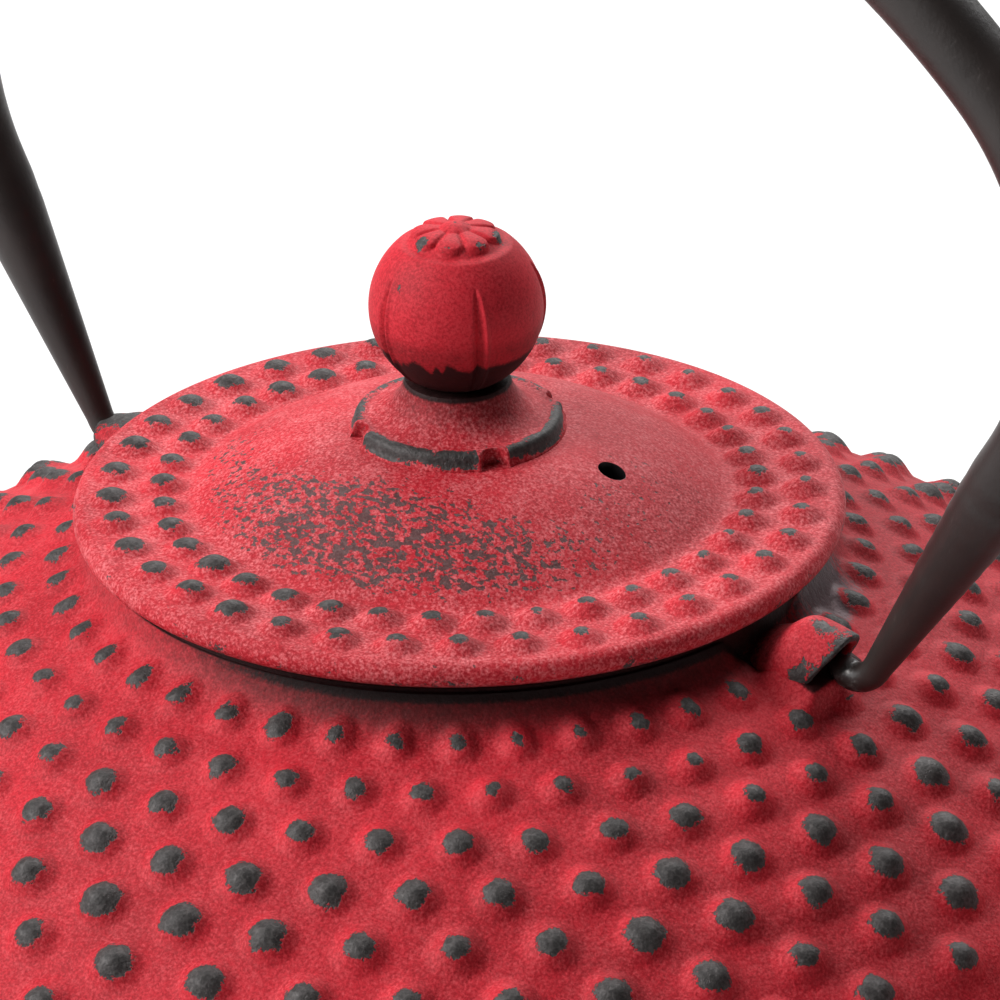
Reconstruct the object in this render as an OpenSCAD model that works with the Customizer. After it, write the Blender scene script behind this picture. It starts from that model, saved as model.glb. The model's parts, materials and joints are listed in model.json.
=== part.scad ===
// Hobnail cast iron teapot with a lift-off lid, a tea strainer and an overhead bail handle.
// Millimetres, +Z up. Origin: centre of the flat foot, on the pot's axis. +X points to the spout.
// Heights on the lid and the handle are counted from the lid plane, where the lid's hobnails end.

/* [Body] */
// Radius of the belly
belly_r = 89; // [86:0.5:92]
// Height of the belly above the table
belly_z = 45.8; // [44:0.2:48]
// Height of the lid plane above the table
lid_z = 95; // [94:0.2:96]
// Wall of the casting
wall_t = 4; // [3:0.5:5]
// Radius of the shoulder's gentle curve
shoulder_r = 170; // [150:5:200]
// Slope of the shoulder where it turns down to the belly, in degrees
shoulder_slope = 34.5; // [32:0.5:37]
// Radius of the turn from shoulder to belly
turn_r = 27; // [24:1:30]
// Radius of the curve under the belly
lower_r = 42; // [38:1:46]
// How far the curve under the belly goes round, in degrees
under_angle = 62; // [56:1:66]
// Radius of the flat foot
foot_r = 54; // [48:1:58]

/* [Mouth] */
// Outer radius of the mouth's lip
lip_r = 40; // [39.5:0.1:40.5]
// Radius where the cove under the lip runs out on the shoulder
cove_foot_r = 44.6; // [44:0.1:46]
// Radius of the mouth
mouth_r = 35; // [34.6:0.1:35.4]
// Radius of the step that the strainer sits in
ledge_r = 38.2; // [38:0.1:38.6]

/* [Lid] */
// Outer radius of the lid
lid_r = 42.4; // [42:0.1:42.8]
// Depth of the lid's rim below the lid plane
lid_rim_drop = 4.6; // [4.2:0.1:5]
// Radius of the dome's edge
dome_r = 29.3; // [28:0.1:30]
// Height of the dome's crown above the lid plane
dome_h = 6.4; // [6:0.1:7]
// Distance of the steam vent from the axis
vent_at = 18.6; // [17:0.1:20]
// Direction of the steam vent from the spout, in degrees
vent_angle = 10; // [0:1:90]
// Radius of the steam vent
vent_r = 1.5; // [1:0.1:2]

/* [Knob] */
// Radius of the ball
ball_r = 9.5; // [9:0.1:10]
// Height of the ball's centre above the lid plane
ball_h = 20.8; // [20.4:0.1:21.2]
// Radius of the rosette collar
collar_r = 11.4; // [11:0.1:12]
// Radius of the neck
neck_r = 5.7; // [5:0.1:6.2]
// Radius of the rivet through the knob
stud_r = 2; // [1.6:0.1:2.4]

/* [Strainer] */
// Outer radius of the strainer's wall
basket_r = 33.45; // [33.4:0.01:33.5]
// Depth of the strainer below its flange
basket_depth = 43; // [38:1:46]
// Sheet thickness of the strainer
sheet_t = 0.5; // [0.4:0.05:0.6]

/* [Handle] */
// Depth of the swing axis below the lid plane
pivot_drop = 8.5; // [8.3:0.1:8.7]
// Lean of the handle away from upright, in degrees
handle_lean = 2; // [0:0.5:5]
// How far the loose handle sits over to the spout side
handle_play = 1.2; // [0:0.1:1.2]
// Tube radius over the top
tube_r = 4.1; // [3.8:0.1:4.4]
// Tube radius at the hooks
hook_r = 1.6; // [1.4:0.1:1.6]
// Radius of the top bow
bow_r = 93; // [91:0.5:94]
// Radius of the two bends between bow and arms
bend_r = 32; // [30:0.5:34]
// Slope of the arms from upright, in degrees
arm_slope = 29.9; // [29:0.1:31]

/* [Spout] */
// Distance of the spout's mouth from the pot's axis
spout_reach = 113; // [108:1:118]
// Height of the spout's mouth above the table
spout_top = 82; // [78:1:86]
// Outer radius of the spout at its mouth
spout_mouth_r = 8.5; // [7.5:0.5:9.5]
// Outer radius of the spout at its root
spout_root_r = 16; // [14:0.5:17]

/* [Hidden] */
$fn = 96;
gap = 0.1;                                 // clearance of the rivet in its holes
over = 1;                                  // how far a cutter runs past a face
steps = 14;                                // straight pieces in each arc of a profile
red = "firebrick";
steel = "silver";
lip_z = lid_z - lid_rim_drop;              // top of the lip, where the lid rests
ledge_z = lip_z - 1.6;                     // step that the strainer's flange sits on
pivot_z = lid_z - pivot_drop;              // height of the handle's swing axis

// Points along an arc about c, from angle a0 to a1
function arc(c, r, a0, a1, n = steps) =
    [for (i = [0 : n]) let (a = a0 + (a1 - a0) * i / n) [c[0] + r * cos(a), c[1] + r * sin(a)]];

// Body: three arcs that share their tangents, about these centres
meet_a = 90 - shoulder_slope;
c_turn = [belly_r - turn_r, belly_z];
c_lower = [belly_r - lower_r, belly_z];
c_shoulder = c_turn + (turn_r - shoulder_r) * [cos(meet_a), sin(meet_a)];
start_a = acos((lip_r + 0.6 - c_shoulder[0]) / shoulder_r);
cove_foot_a = acos((cove_foot_r - c_shoulder[0]) / shoulder_r);
foot_h = 2.2;
foot_chamfer = 0.8;
floor_t = 5;
floor_r = 44;
neck_under_z = lid_z - 10.8;               // underside of the thick ring round the mouth

function body_arcs(t, from_a) = concat(
    arc(c_shoulder, shoulder_r - t, from_a, meet_a),
    arc(c_turn, turn_r - t, meet_a, 0),
    arc(c_lower, lower_r - t, 0, -under_angle));

// Cove: a hollow arc from the lip down to the shoulder, which it leaves along the shoulder's tangent
cove_top = [lip_r + 0.6, lip_z - 0.6];
cove_foot = c_shoulder + shoulder_r * [cos(cove_foot_a), sin(cove_foot_a)];
cove_chord = cove_foot - cove_top;
cove_chord_a = atan2(cove_chord[1], cove_chord[0]);
cove_turn = 2 * (cove_foot_a - 90 - cove_chord_a);
cove_r = norm(cove_chord) / (2 * sin(cove_turn / 2));
cove_c = cove_foot + cove_r * [cos(cove_foot_a), sin(cove_foot_a)];
cove = arc(cove_c, cove_r, cove_foot_a + 180 - cove_turn, cove_foot_a + 180);

function backwards(p) = [for (i = [len(p) - 1 : -1 : 0]) p[i]];

// The casting's outside, filled in, and the space that its core leaves
module body_outside() {
    rotate_extrude()
        polygon(concat(
            [[0, lip_z], [lip_r - 0.5, lip_z], [lip_r, lip_z - 0.5]],
            cove,
            body_arcs(0, cove_foot_a),
            [[foot_r + 0.6, foot_h], [foot_r, foot_chamfer], [foot_r - foot_chamfer, 0], [0, 0]]));
}

module body_inside() {
    rotate_extrude()
        polygon(concat(
            [[0, floor_t], [floor_r, floor_t]],
            backwards(body_arcs(wall_t, start_a)),
            [[mouth_r, neck_under_z], [mouth_r, ledge_z], [ledge_r, ledge_z],
             [ledge_r, lip_z + over], [0, lip_z + over]]));
}

// Lug: a hood over the swing axis, open outwards, whose crown stands out past its sides
lug_r = 4.8;
lug_hollow_r = 3.3;
lug_back_x = 46.4;
lug_end_x = 50.7;
lug_hollow_x = 45.6;
lug_rim_lean = 30;

module lug() {
    translate([lug_back_x, 0, pivot_z])
        difference() {
            rotate([0, 90, 0])
                rotate_extrude()
                    polygon(concat([[0, lug_end_x - lug_back_x], [lug_r, lug_end_x - lug_back_x]],
                                   arc([0, 0], lug_r, 0, -90, 10)));
            translate([lug_end_x - lug_back_x, 0, lug_hollow_r + over])
                rotate([0, lug_rim_lean, 0])
                    translate([0, -2 * lug_r, -4 * lug_r])
                        cube(4 * lug_r);
        }
}

module lug_hollow() {
    translate([lug_hollow_x, 0, pivot_z])
        rotate([0, 90, 0])
            cylinder(r = lug_hollow_r, h = lug_end_x - lug_hollow_x + over);
}

// Spout: cones along a curve with three guide points in the XZ plane, with a ball at each joint
spout_stops = [0, 0.34, 0.6, 0.8, 1];
spout_wall = 2.6;
spout_root = [74, 43];
spout_guide = [105, 47];
spout_end = [spout_reach, spout_top];
joint_swell = 0.25;                        // how far a joint's ball stands out of the cones
function curve(t) = (1 - t) * (1 - t) * spout_root + 2 * t * (1 - t) * spout_guide + t * t * spout_end;
function spout_radius(t) = spout_mouth_r + (spout_root_r - spout_mouth_r) * pow(1 - t, 1.6);

module spout_run(thinner, past_end) {
    last = len(spout_stops) - 2;
    for (k = [0 : last]) {
        p = curve(spout_stops[k]);
        q = curve(spout_stops[k + 1]);
        r = spout_radius(spout_stops[k]) - thinner;
        translate([p[0], 0, p[1]])
            rotate([0, atan2(q[0] - p[0], q[1] - p[1]), 0])
                cylinder(r1 = r, r2 = spout_radius(spout_stops[k + 1]) - thinner,
                         h = norm(q - p) + (k == last ? past_end : 0));
        if (k > 0) translate([p[0], 0, p[1]]) sphere(r + joint_swell);
    }
}

module pot() {
    color(red)
        difference() {
            union() {
                body_outside();
                lug();
                mirror([1, 0, 0]) lug();
                spout_run(0, 0);
            }
            body_inside();
            lug_hollow();
            mirror([1, 0, 0]) lug_hollow();
            spout_run(spout_wall, over);
        }
}

// Lid: counted from the lid plane
band_drop = 1.1;                           // smooth surface between the hobnails
rim_round = 1.7;
skirt_r = 32.2;
skirt_t = 2.4;
skirt_drop = 9.5;
lid_t = 3;
pad_r = collar_r - 1;
dome_steps = 8;

// The dome rises from its edge to the pad as a quarter wave
function dome_z(r) = -band_drop + (dome_h + band_drop) * sin(90 * (dome_r - r) / (dome_r - pad_r));
dome_points = [for (i = [0 : dome_steps])
    let (r = pad_r + (dome_r - pad_r) * i / dome_steps) [r, dome_z(r)]];

module lid() {
    color(red)
        translate([0, 0, lid_z])
            difference() {
                rotate_extrude()
                    polygon(concat(
                        [[0, dome_h]],
                        dome_points,
                        arc([lid_r - rim_round, -band_drop - rim_round], rim_round, 90, -80, 8),
                        [[lid_r - 2 * rim_round, -lid_rim_drop], [skirt_r, -lid_rim_drop],
                         [skirt_r, -skirt_drop + 0.6], [skirt_r - 0.6, -skirt_drop],
                         [skirt_r - skirt_t, -skirt_drop], [skirt_r - skirt_t, -band_drop - lid_t]],
                        [for (i = [dome_steps : -1 : 0])
                            [dome_points[i][0] - 1, dome_points[i][1] - lid_t]],
                        [[0, dome_h - lid_t]]));
                translate([0, 0, -lid_t]) cylinder(r = stud_r + gap, h = dome_h + 2 * lid_t);
                rotate([0, 0, vent_angle])
                    translate([vent_at, 0, -lid_t])
                        cylinder(r = vent_r, h = dome_h + 2 * lid_t);
            }
}

// Knob: collar and neck, then the ball, on one rivet
seat_top = 12.2;
collar_edge = 2.2;
notches = 4;
notch_r = 1.5;
notch_turn = -33;
stud_into_ball = 9;

module knob_seat() {
    color(red)
        translate([0, 0, lid_z])
            difference() {
                rotate_extrude()
                    polygon(concat(
                        [[0, dome_h], [collar_r - 0.7, dome_h], [collar_r, dome_h + 0.7],
                         [collar_r - 0.3, dome_h + collar_edge]],
                        arc([collar_r - 0.6, seat_top + 1], collar_r - neck_r - 0.6, -100, -165, 8),
                        [[neck_r, seat_top], [0, seat_top]]));
                translate([0, 0, dome_h - over])
                    cylinder(r = stud_r + gap, h = seat_top - dome_h + 2 * over);
                for (i = [0 : notches - 1])
                    rotate([0, 0, notch_turn + i * 360 / notches])
                        translate([collar_r + 0.4, 0, dome_h - over])
                            cylinder(r = notch_r, h = collar_edge + 2 * over);
            }
}

module knob_ball() {
    color(red)
        translate([0, 0, lid_z])
            difference() {
                translate([0, 0, ball_h]) sphere(ball_r);
                translate([-ball_r, -ball_r, seat_top - 2 * ball_r])
                    cube([2 * ball_r, 2 * ball_r, 2 * ball_r]);
                translate([0, 0, seat_top - over])
                    cylinder(r = stud_r + gap, h = stud_into_ball + over + gap);
            }
}

washer_t = 1;
washer_r = 5;
rivet_head_r = 3.4;
rivet_head_t = 1.6;

module knob_stud() {
    color(steel)
        translate([0, 0, lid_z + dome_h - lid_t - washer_t]) {
            cylinder(r = stud_r, h = lid_t + washer_t + seat_top - dome_h + stud_into_ball);
            translate([0, 0, -rivet_head_t])
                cylinder(r1 = rivet_head_r - 1, r2 = rivet_head_r, h = rivet_head_t);
        }
}

module knob_washer() {
    color(steel)
        translate([0, 0, lid_z + dome_h - lid_t - washer_t])
            difference() {
                cylinder(r = washer_r, h = washer_t);
                translate([0, 0, -over]) cylinder(r = stud_r + gap, h = washer_t + 2 * over);
            }
}

// Strainer: hangs from the step in the mouth by its flange
flange_r = ledge_r - 0.4;
collar_in_r = basket_r + 0.05;
collar_drop = 5;
pan_r = basket_r - sheet_t - 0.05;
pan_h = 3;

module tube(r_out, r_in, z0, z1) {
    translate([0, 0, z0])
        difference() {
            cylinder(r = r_out, h = z1 - z0);
            translate([0, 0, -over]) cylinder(r = r_in, h = z1 - z0 + 2 * over);
        }
}

module basket_rim() {
    color(steel) {
        tube(flange_r, collar_in_r, ledge_z, ledge_z + sheet_t);
        tube(collar_in_r + sheet_t, collar_in_r, ledge_z - collar_drop, ledge_z + sheet_t);
    }
}

module basket_wall() {
    color(steel) tube(basket_r, basket_r - sheet_t, ledge_z - basket_depth, ledge_z - 0.2);
}

module basket_floor() {
    color(steel) {
        translate([0, 0, ledge_z - basket_depth]) cylinder(r = pan_r, h = sheet_t);
        tube(pan_r, pan_r - sheet_t, ledge_z - basket_depth, ledge_z - basket_depth + pan_h);
    }
}

// Handle: drawn upright about its swing axis, u outwards and h up, then leaned and shifted
hook_bend_r = 3;                           // from arm to hook
tip_bend_r = 1.8;                          // from hook to its upturned tip
tip_h = 2.4;                               // top of the tip above the swing axis
taper_h = 25.6;                            // height where the arm's taper starts
arm_u = 53.33;                             // outward place of the arm where the hook bend ends
arm_h = hook_bend_r * (1 - sin(arm_slope));
hook_c = [arm_u - hook_bend_r * cos(arm_slope), hook_bend_r];
arm_dir = [sin(arm_slope), cos(arm_slope)];
arm_normal = [cos(arm_slope), -sin(arm_slope)];
// The bend touches the arm's line and the bow; both conditions fix its centre
reach = bow_r - bend_r;
bend_max_u = 73.6;                         // widest place of the tube's centre line
bend_u = bend_max_u - bend_r;
arm_shift = (bend_u + bend_r * arm_normal[0] - arm_u) / arm_dir[0];
bend_c = [bend_u, arm_h + arm_shift * arm_dir[1] - bend_r * arm_normal[1]];
bow_a = acos(bend_u / reach);              // direction of the joint between bend and bow
bow_c = [0, bend_c[1] - reach * sin(bow_a)];

// Half of the tube's centre line, from the hook's tip to the top, as [u, h, radius]
function line_arc(c, r, a0, a1, n, tube) = [for (p = arc(c, r, a0, a1, n)) [p[0], p[1], tube]];
half_line = concat(
    [[hook_c[0] - tip_bend_r, tip_h, hook_r]],
    line_arc([hook_c[0], tip_bend_r], tip_bend_r, -180, -90, 4, hook_r),
    line_arc(hook_c, hook_bend_r, -70, -arm_slope, 3, hook_r),
    [[arm_u + (taper_h - arm_h) * tan(arm_slope), taper_h, tube_r]],
    line_arc(bend_c, bend_r, -arm_slope, bow_a, 10, tube_r),
    line_arc(bow_c, bow_r, bow_a + 5, 90, 8, tube_r));
half_n = len(half_line);
tube_line = concat(half_line,
    [for (i = [half_n - 2 : -1 : 0]) [-half_line[i][0], half_line[i][1], half_line[i][2]]]);
tube_n = len(tube_line);
tube_sides = 16;

function line_dir(i) =
    let (p = tube_line[max(i - 1, 0)], q = tube_line[min(i + 1, tube_n - 1)],
         d = [q[0] - p[0], q[1] - p[1]])
    i == 0 ? [0, -1] : i == tube_n - 1 ? [0, 1] : d / norm(d);

// A closed skin over rings of n points each, listed ring after ring
module skin(points, rings, n) {
    sides = [for (k = [0 : rings - 2], i = [0 : n - 1])
        each [[k * n + i, k * n + (i + 1) % n, (k + 1) * n + i],
              [k * n + (i + 1) % n, (k + 1) * n + (i + 1) % n, (k + 1) * n + i]]];
    caps = [[for (i = [n - 1 : -1 : 0]) i], [for (i = [0 : n - 1]) (rings - 1) * n + i]];
    polyhedron(points, concat(sides, caps), convexity = 4);
}

module handle() {
    color([0.13, 0.12, 0.11])
        translate([handle_play, 0, pivot_z])
            rotate([-handle_lean, 0, 0])
                skin([for (i = [0 : tube_n - 1], k = [0 : tube_sides - 1])
                    let (p = tube_line[i], d = line_dir(i), a = 360 * k / tube_sides)
                    [p[0] - d[1] * p[2] * cos(a), p[2] * sin(a), p[1] + d[0] * p[2] * cos(a)]],
                    tube_n, tube_sides);
}

pot();
lid();
knob_seat();
knob_ball();
knob_stud();
knob_washer();
basket_rim();
basket_wall();
basket_floor();
handle();
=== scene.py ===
import json
import math

import bpy
import numpy as np
from bpy.props import FloatProperty, FloatVectorProperty, IntProperty, PointerProperty
from mathutils import Matrix, Vector


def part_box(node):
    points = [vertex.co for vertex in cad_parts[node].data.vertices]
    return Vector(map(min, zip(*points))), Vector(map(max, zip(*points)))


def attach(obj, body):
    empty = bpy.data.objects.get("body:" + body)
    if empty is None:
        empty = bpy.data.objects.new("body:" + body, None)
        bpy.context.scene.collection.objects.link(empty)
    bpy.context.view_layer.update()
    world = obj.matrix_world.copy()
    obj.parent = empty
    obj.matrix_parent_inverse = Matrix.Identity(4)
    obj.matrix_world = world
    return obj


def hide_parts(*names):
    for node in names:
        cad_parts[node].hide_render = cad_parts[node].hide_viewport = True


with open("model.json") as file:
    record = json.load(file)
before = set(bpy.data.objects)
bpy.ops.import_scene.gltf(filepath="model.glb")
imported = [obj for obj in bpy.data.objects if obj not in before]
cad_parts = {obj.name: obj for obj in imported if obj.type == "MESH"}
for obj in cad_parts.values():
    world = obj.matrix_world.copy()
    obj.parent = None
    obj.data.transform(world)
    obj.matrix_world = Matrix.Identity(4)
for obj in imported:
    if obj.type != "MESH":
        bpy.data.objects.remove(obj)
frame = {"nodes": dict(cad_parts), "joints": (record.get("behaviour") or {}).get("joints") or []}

bl_info = {
    "name": "Hobnail Cast Iron Teapot",
    "version": (1, 0, 0),
    "blender": (4, 5, 0),
    "location": "View3D > Sidebar > Teapot",
    "description": "Makes the painted casting, lid, knob, strainer and bail of a teapot round its CAD frame",
    "category": "Object",
}

MM = 0.001
TURN = 2 * math.pi
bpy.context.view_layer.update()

# Places that the frame gives: the lid plane is where the lid's hobnails end
CROWN = 6.4 * MM
LID_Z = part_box("knob_seat")[0].z - CROWN
BELLY_R = -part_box("pot")[0].x
LID_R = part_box("lid")[1].x
LIP_Z = LID_Z - 4.6 * MM
LEDGE_Z = LIP_Z - 1.6 * MM
SWING = next(j for j in frame["joints"] if j["name"] == "handle_swing")
PIVOT_Z = SWING["pos_m"][2]


# ---------------------------------------------------------------- settings

def length(name, text, default):
    return FloatProperty(name=name, description=text, default=default, min=0.0, unit="LENGTH", precision=5)


def colour(name, text, default):
    return FloatVectorProperty(name=name, description=text, default=default, size=3, min=0.0, max=1.0,
                               subtype="COLOR")


class CastingSettings(bpy.types.PropertyGroup):
    """Sizes of the body's hobnails and walls."""
    columns: IntProperty(name="Hobnails per ring", description="How many hobnails go round the body",
                         default=44, min=12)
    rings: IntProperty(name="Rings", description="How many rings of hobnails the body has", default=14, min=1)
    first_ring: length("First ring", "Way along the surface from the lip to the first ring", 4.2 * MM)
    ring_pitch: length("Ring pitch", "Way along the surface from ring to ring", 6.22 * MM)
    hobnail_height: length("Hobnail height", "Height of the hobnails on the flank", 1.7 * MM)
    hobnail_radius: length("Hobnail radius", "Base radius of the hobnails on the flank", 3.5 * MM)
    wall: length("Wall", "Thickness of the casting", 4 * MM)


class LidSettings(bpy.types.PropertyGroup):
    """Sizes of the lid."""
    columns: IntProperty(name="Hobnails per ring", description="How many hobnails go round the lid",
                         default=37, min=12)
    dome_radius: length("Dome radius", "Radius where the dome meets the flat band", 29.3 * MM)
    band_drop: length("Band drop", "Depth of the smooth band below the hobnails' tops", 1.1 * MM)
    hobnail_radius: length("Hobnail radius", "Base radius of the lid's hobnails", 2.8 * MM)
    hobnail_height: length("Hobnail height", "Height of the lid's hobnails", 1.35 * MM)
    vent_place: length("Vent place", "Distance of the steam vent from the middle", 18.6 * MM)
    vent_radius: length("Vent radius", "Radius of the steam vent", 1.5 * MM)
    vent_angle: FloatProperty(name="Vent angle", description="Direction of the steam vent from the spout",
                              default=math.radians(10), subtype="ANGLE")


class KnobSettings(bpy.types.PropertyGroup):
    """Sizes of the knob."""
    ball_radius: length("Ball radius", "Radius of the ball", 9.5 * MM)
    ball_height: length("Ball height", "Height of the ball's centre over the lid plane", 20.8 * MM)
    collar_radius: length("Collar radius", "Radius of the collar under the knob", 11.4 * MM)
    neck_radius: length("Neck radius", "Radius of the neck", 5.7 * MM)
    flutes: IntProperty(name="Flutes", description="Number of upright grooves round the ball",
                        default=5, min=0)
    petals: IntProperty(name="Petals", description="Number of petals on top of the ball", default=8, min=3)


class HandleSettings(bpy.types.PropertyGroup):
    """Sizes of the bail handle."""
    tube_radius: length("Tube radius", "Radius of the tube over the top", 4.1 * MM)
    hook_radius: length("Hook radius", "Radius of the drawn-out hooks", 1.6 * MM)
    lean: FloatProperty(name="Lean", description="Lean of the handle from upright",
                        default=math.radians(2), subtype="ANGLE")
    play: length("Play", "How far the loose handle sits over to the spout side", 1.2 * MM)


class FinishSettings(bpy.types.PropertyGroup):
    """Colours of the finishes."""
    paint: colour("Paint", "Red paint where it lies thick", (0.50, 0.016, 0.028))
    paint_thin: colour("Thin paint", "Red paint over the dark primer", (0.27, 0.008, 0.014))
    # The pale dust colour also paints a sheen: it lightens and greys the paint on the sandy grain.
    paint_dust_and_sheen: colour("Rubbed paint", "Pale dust on the sandy grain", (0.64, 0.185, 0.195))
    iron: colour("Iron", "Bare iron where the paint is worn", (0.064, 0.058, 0.057))
    # The black also paints shadow: a band under the lid's rim, the lip and the lugs' hollows.
    primer_and_shade: colour("Primer", "Black primer in the joints", (0.006, 0.004, 0.004))
    # Painted shade: the dark colour for the shade under the lid's rim, by the lugs, under the ball and on the
    # rim's lower half.
    shade_tone: colour("Dirt", "Dirt in the groove under the lid", (0.036, 0.005, 0.005))
    enamel: colour("Handle enamel", "Black-brown enamel of the handle", (0.012, 0.008, 0.007))
    steel: colour("Steel", "Strainer and rivet", (0.62, 0.61, 0.59))


class StageSettings(bpy.types.PropertyGroup):
    """Camera and floor."""
    azimuth: FloatProperty(name="Azimuth", description="Direction of the camera from the spout",
                           default=math.radians(-52.87), subtype="ANGLE")
    elevation: FloatProperty(name="Elevation", description="Height of the camera over the horizon",
                             default=math.radians(25.94), subtype="ANGLE")
    roll: FloatProperty(name="Roll", description="Turn of the camera about its own axis",
                        default=math.radians(-0.71), subtype="ANGLE")
    distance: length("Distance", "Distance of the camera from its aim", 566.6 * MM)
    lens: FloatProperty(name="Lens", description="Focal length in millimetres", default=186.1, min=1)
    floor: colour("Floor", "Pale floor", (0.48, 0.48, 0.48))
    fill: FloatProperty(name="Fill", description="Strength of the even light from all round",
                        default=0.06, min=0)
    floor_glow: FloatProperty(name="Floor glow", description="Light that the far floor sends back",
                              default=0.62, min=0)


GROUPS = {
    "pot_casting": CastingSettings, "pot_lid": LidSettings, "pot_knob": KnobSettings,
    "pot_handle": HandleSettings, "pot_finish": FinishSettings, "pot_stage": StageSettings,
}


# ---------------------------------------------------------------- surfaces

def smooth(x, low, high):
    """0 below low, 1 above high and 3t² - 2t³ between; low may be the larger, to fall instead of rise."""
    t = np.clip((np.asarray(x, float) - low) / (high - low), 0, 1)
    return t * t * (3 - 2 * t)


def arc(centre, radius, start, end, count):
    """Points about centre at radius, from angle start to end in degrees."""
    a = np.radians(np.linspace(start, end, count))
    return np.stack([centre[0] + radius * np.cos(a), centre[1] + radius * np.sin(a)], axis=1)


def rounded(corners, radii, steps=5):
    """A line through corners, each replaced by an arc of its radius that touches both sides."""
    corners = np.asarray(corners, float)
    out = [corners[:1]]
    for before, at, after, radius in zip(corners[:-2], corners[1:-1], corners[2:], radii):
        if radius <= 0:
            out.append(at[None])
            continue
        u, v = before - at, after - at
        u, v = u / np.linalg.norm(u), v / np.linalg.norm(v)
        half = 0.5 * math.acos(np.clip(u @ v, -1, 1))
        centre = at + (u + v) / np.linalg.norm(u + v) * radius / math.sin(half)
        t = np.linspace(0, 1, steps)[:, None]
        first, last = (at + arm * radius / math.tan(half) - centre for arm in (u, v))
        fan = first * (1 - t) + last * t
        out.append(centre + radius * fan / np.linalg.norm(fan, axis=1, keepdims=True))
    return np.concatenate(out + [corners[-1:]])


def even(line, step):
    """The same line with points no more than step apart."""
    way = np.concatenate([[0], np.cumsum(np.linalg.norm(np.diff(line, axis=0), axis=1))])
    at = np.linspace(0, way[-1], max(2, int(math.ceil(way[-1] / step)) + 1))
    return np.stack([np.interp(at, way, line[:, k]) for k in range(line.shape[1])], axis=1)


def turned(radius, height, angle):
    """Points at radius and height, arrays of rows by columns, round the pot's axis."""
    return np.stack(np.broadcast_arrays(radius * np.cos(angle), radius * np.sin(angle), height), axis=-1)


def grid_normals(points):
    """Normals of a grid closed along its columns: the cross product of its two central differences."""
    down = np.gradient(points, axis=0)
    across = np.roll(points, -1, axis=1) - np.roll(points, 1, axis=1)
    n = np.cross(down, across)
    return n / np.maximum(np.linalg.norm(n, axis=-1, keepdims=True), 1e-12)


def grid_quads(rows, columns, ring):
    """Faces of a grid closed along its columns, and down its rows too if it is a ring."""
    r = np.arange(rows if ring else rows - 1)[:, None]
    c = np.arange(columns)[None, :]
    r1, c1 = (r + 1) % rows, (c + 1) % columns
    corners = (r * columns + c, r1 * columns + c, r1 * columns + c1, r * columns + c1)
    return np.stack(np.broadcast_arrays(*corners), axis=-1).reshape(-1, 4)


def grid_piece(name, points, finishes, ring=False, poles=False, normals=None, inner_rows=None, marks=None,
               crease=38):
    """A piece from a grid of points, closed along its columns.
    ring joins the last row to the first, poles closes both ends with a fan, and inner_rows take the
    second finish."""
    rows, cols = points.shape[:2]
    quads = grid_quads(rows, cols, ring)
    verts = points.reshape(-1, 3)
    fans = np.zeros((0, 3), int)
    if poles:
        c, c1 = np.arange(cols), (np.arange(cols) + 1) % cols
        last = (rows - 1) * cols
        first_pole, last_pole = len(verts), len(verts) + 1
        verts = np.concatenate([verts, points[:1].mean(axis=1), points[-1:].mean(axis=1)])
        fans = np.concatenate([np.stack([np.full(cols, first_pole), c, c1], axis=1),
                               np.stack([last + c, np.full(cols, last_pole), last + c1], axis=1)])
    triangles = np.concatenate([quads[:, :3], quads[:, [0, 2, 3]], fans])
    a, b, d = (verts[triangles[:, k]] for k in range(3))
    inside_out = np.einsum("ij,ij->i", a, np.cross(b, d)).sum() < 0
    if inside_out:
        quads, fans = quads[:, ::-1], fans[:, ::-1]
    material = np.zeros(len(quads) + len(fans), int)
    if inner_rows is not None:
        material[:len(quads)] = np.repeat(np.isin(np.arange(len(quads) // cols), inner_rows), cols)
    made = mesh_piece(name, verts, quads, fans, finishes, material, crease)
    extra = len(verts) - rows * cols
    for mark, values in (marks or {}).items():
        flat = np.broadcast_to(values, (rows, cols)).reshape(-1)
        ends = [flat[:cols].mean(), flat[-cols:].mean()][:extra]
        layer = made.data.attributes.new(mark, "FLOAT", "POINT")
        layer.data.foreach_set("value", np.concatenate([flat, ends]).astype(np.float32))
    if normals is not None:
        sign = -1 if inside_out else 1
        made.data.normals_split_custom_set_from_vertices((sign * normals.reshape(-1, 3)).tolist())
    return made


def mesh_piece(name, verts, quads, triangles, finishes, material=None, crease=38):
    """A mesh object at the origin from arrays of points, quads and triangles."""
    mesh = bpy.data.meshes.new(name)
    mesh.vertices.add(len(verts))
    mesh.vertices.foreach_set("co", np.asarray(verts, np.float32).reshape(-1))
    mesh.loops.add(quads.size + triangles.size)
    corners = np.concatenate([quads.reshape(-1), triangles.reshape(-1)])
    mesh.loops.foreach_set("vertex_index", corners.astype(np.int32))
    starts = np.concatenate([np.arange(len(quads)) * 4, quads.size + np.arange(len(triangles)) * 3])
    mesh.polygons.add(len(starts))
    mesh.polygons.foreach_set("loop_start", starts.astype(np.int32))
    mesh.update(calc_edges=True)
    mesh.validate()
    for finish in finishes:
        mesh.materials.append(finish)
    if material is not None and len(finishes) > 1:
        mesh.polygons.foreach_set("material_index", material.astype(np.int32))
    mesh.shade_smooth()
    if crease:
        mesh.set_sharp_from_angle(angle=math.radians(crease))
    made = bpy.data.objects.new(name, mesh)
    bpy.context.scene.collection.objects.link(made)
    return made


def lathe(name, line, columns, finishes, **more):
    """A closed outline of [radius, height] points turned round the pot's axis."""
    angle = np.arange(columns) * TURN / columns
    return grid_piece(name, turned(line[:, :1], line[:, 1:], angle), finishes, ring=True, **more)


def fit(piece, body, slot, *nodes):
    """The piece rides on its body and stands for the CAD nodes, which it hides; the slot is not used."""
    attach(piece, body)
    if nodes:
        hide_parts(*nodes)


# ---------------------------------------------------------------- finishes

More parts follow.
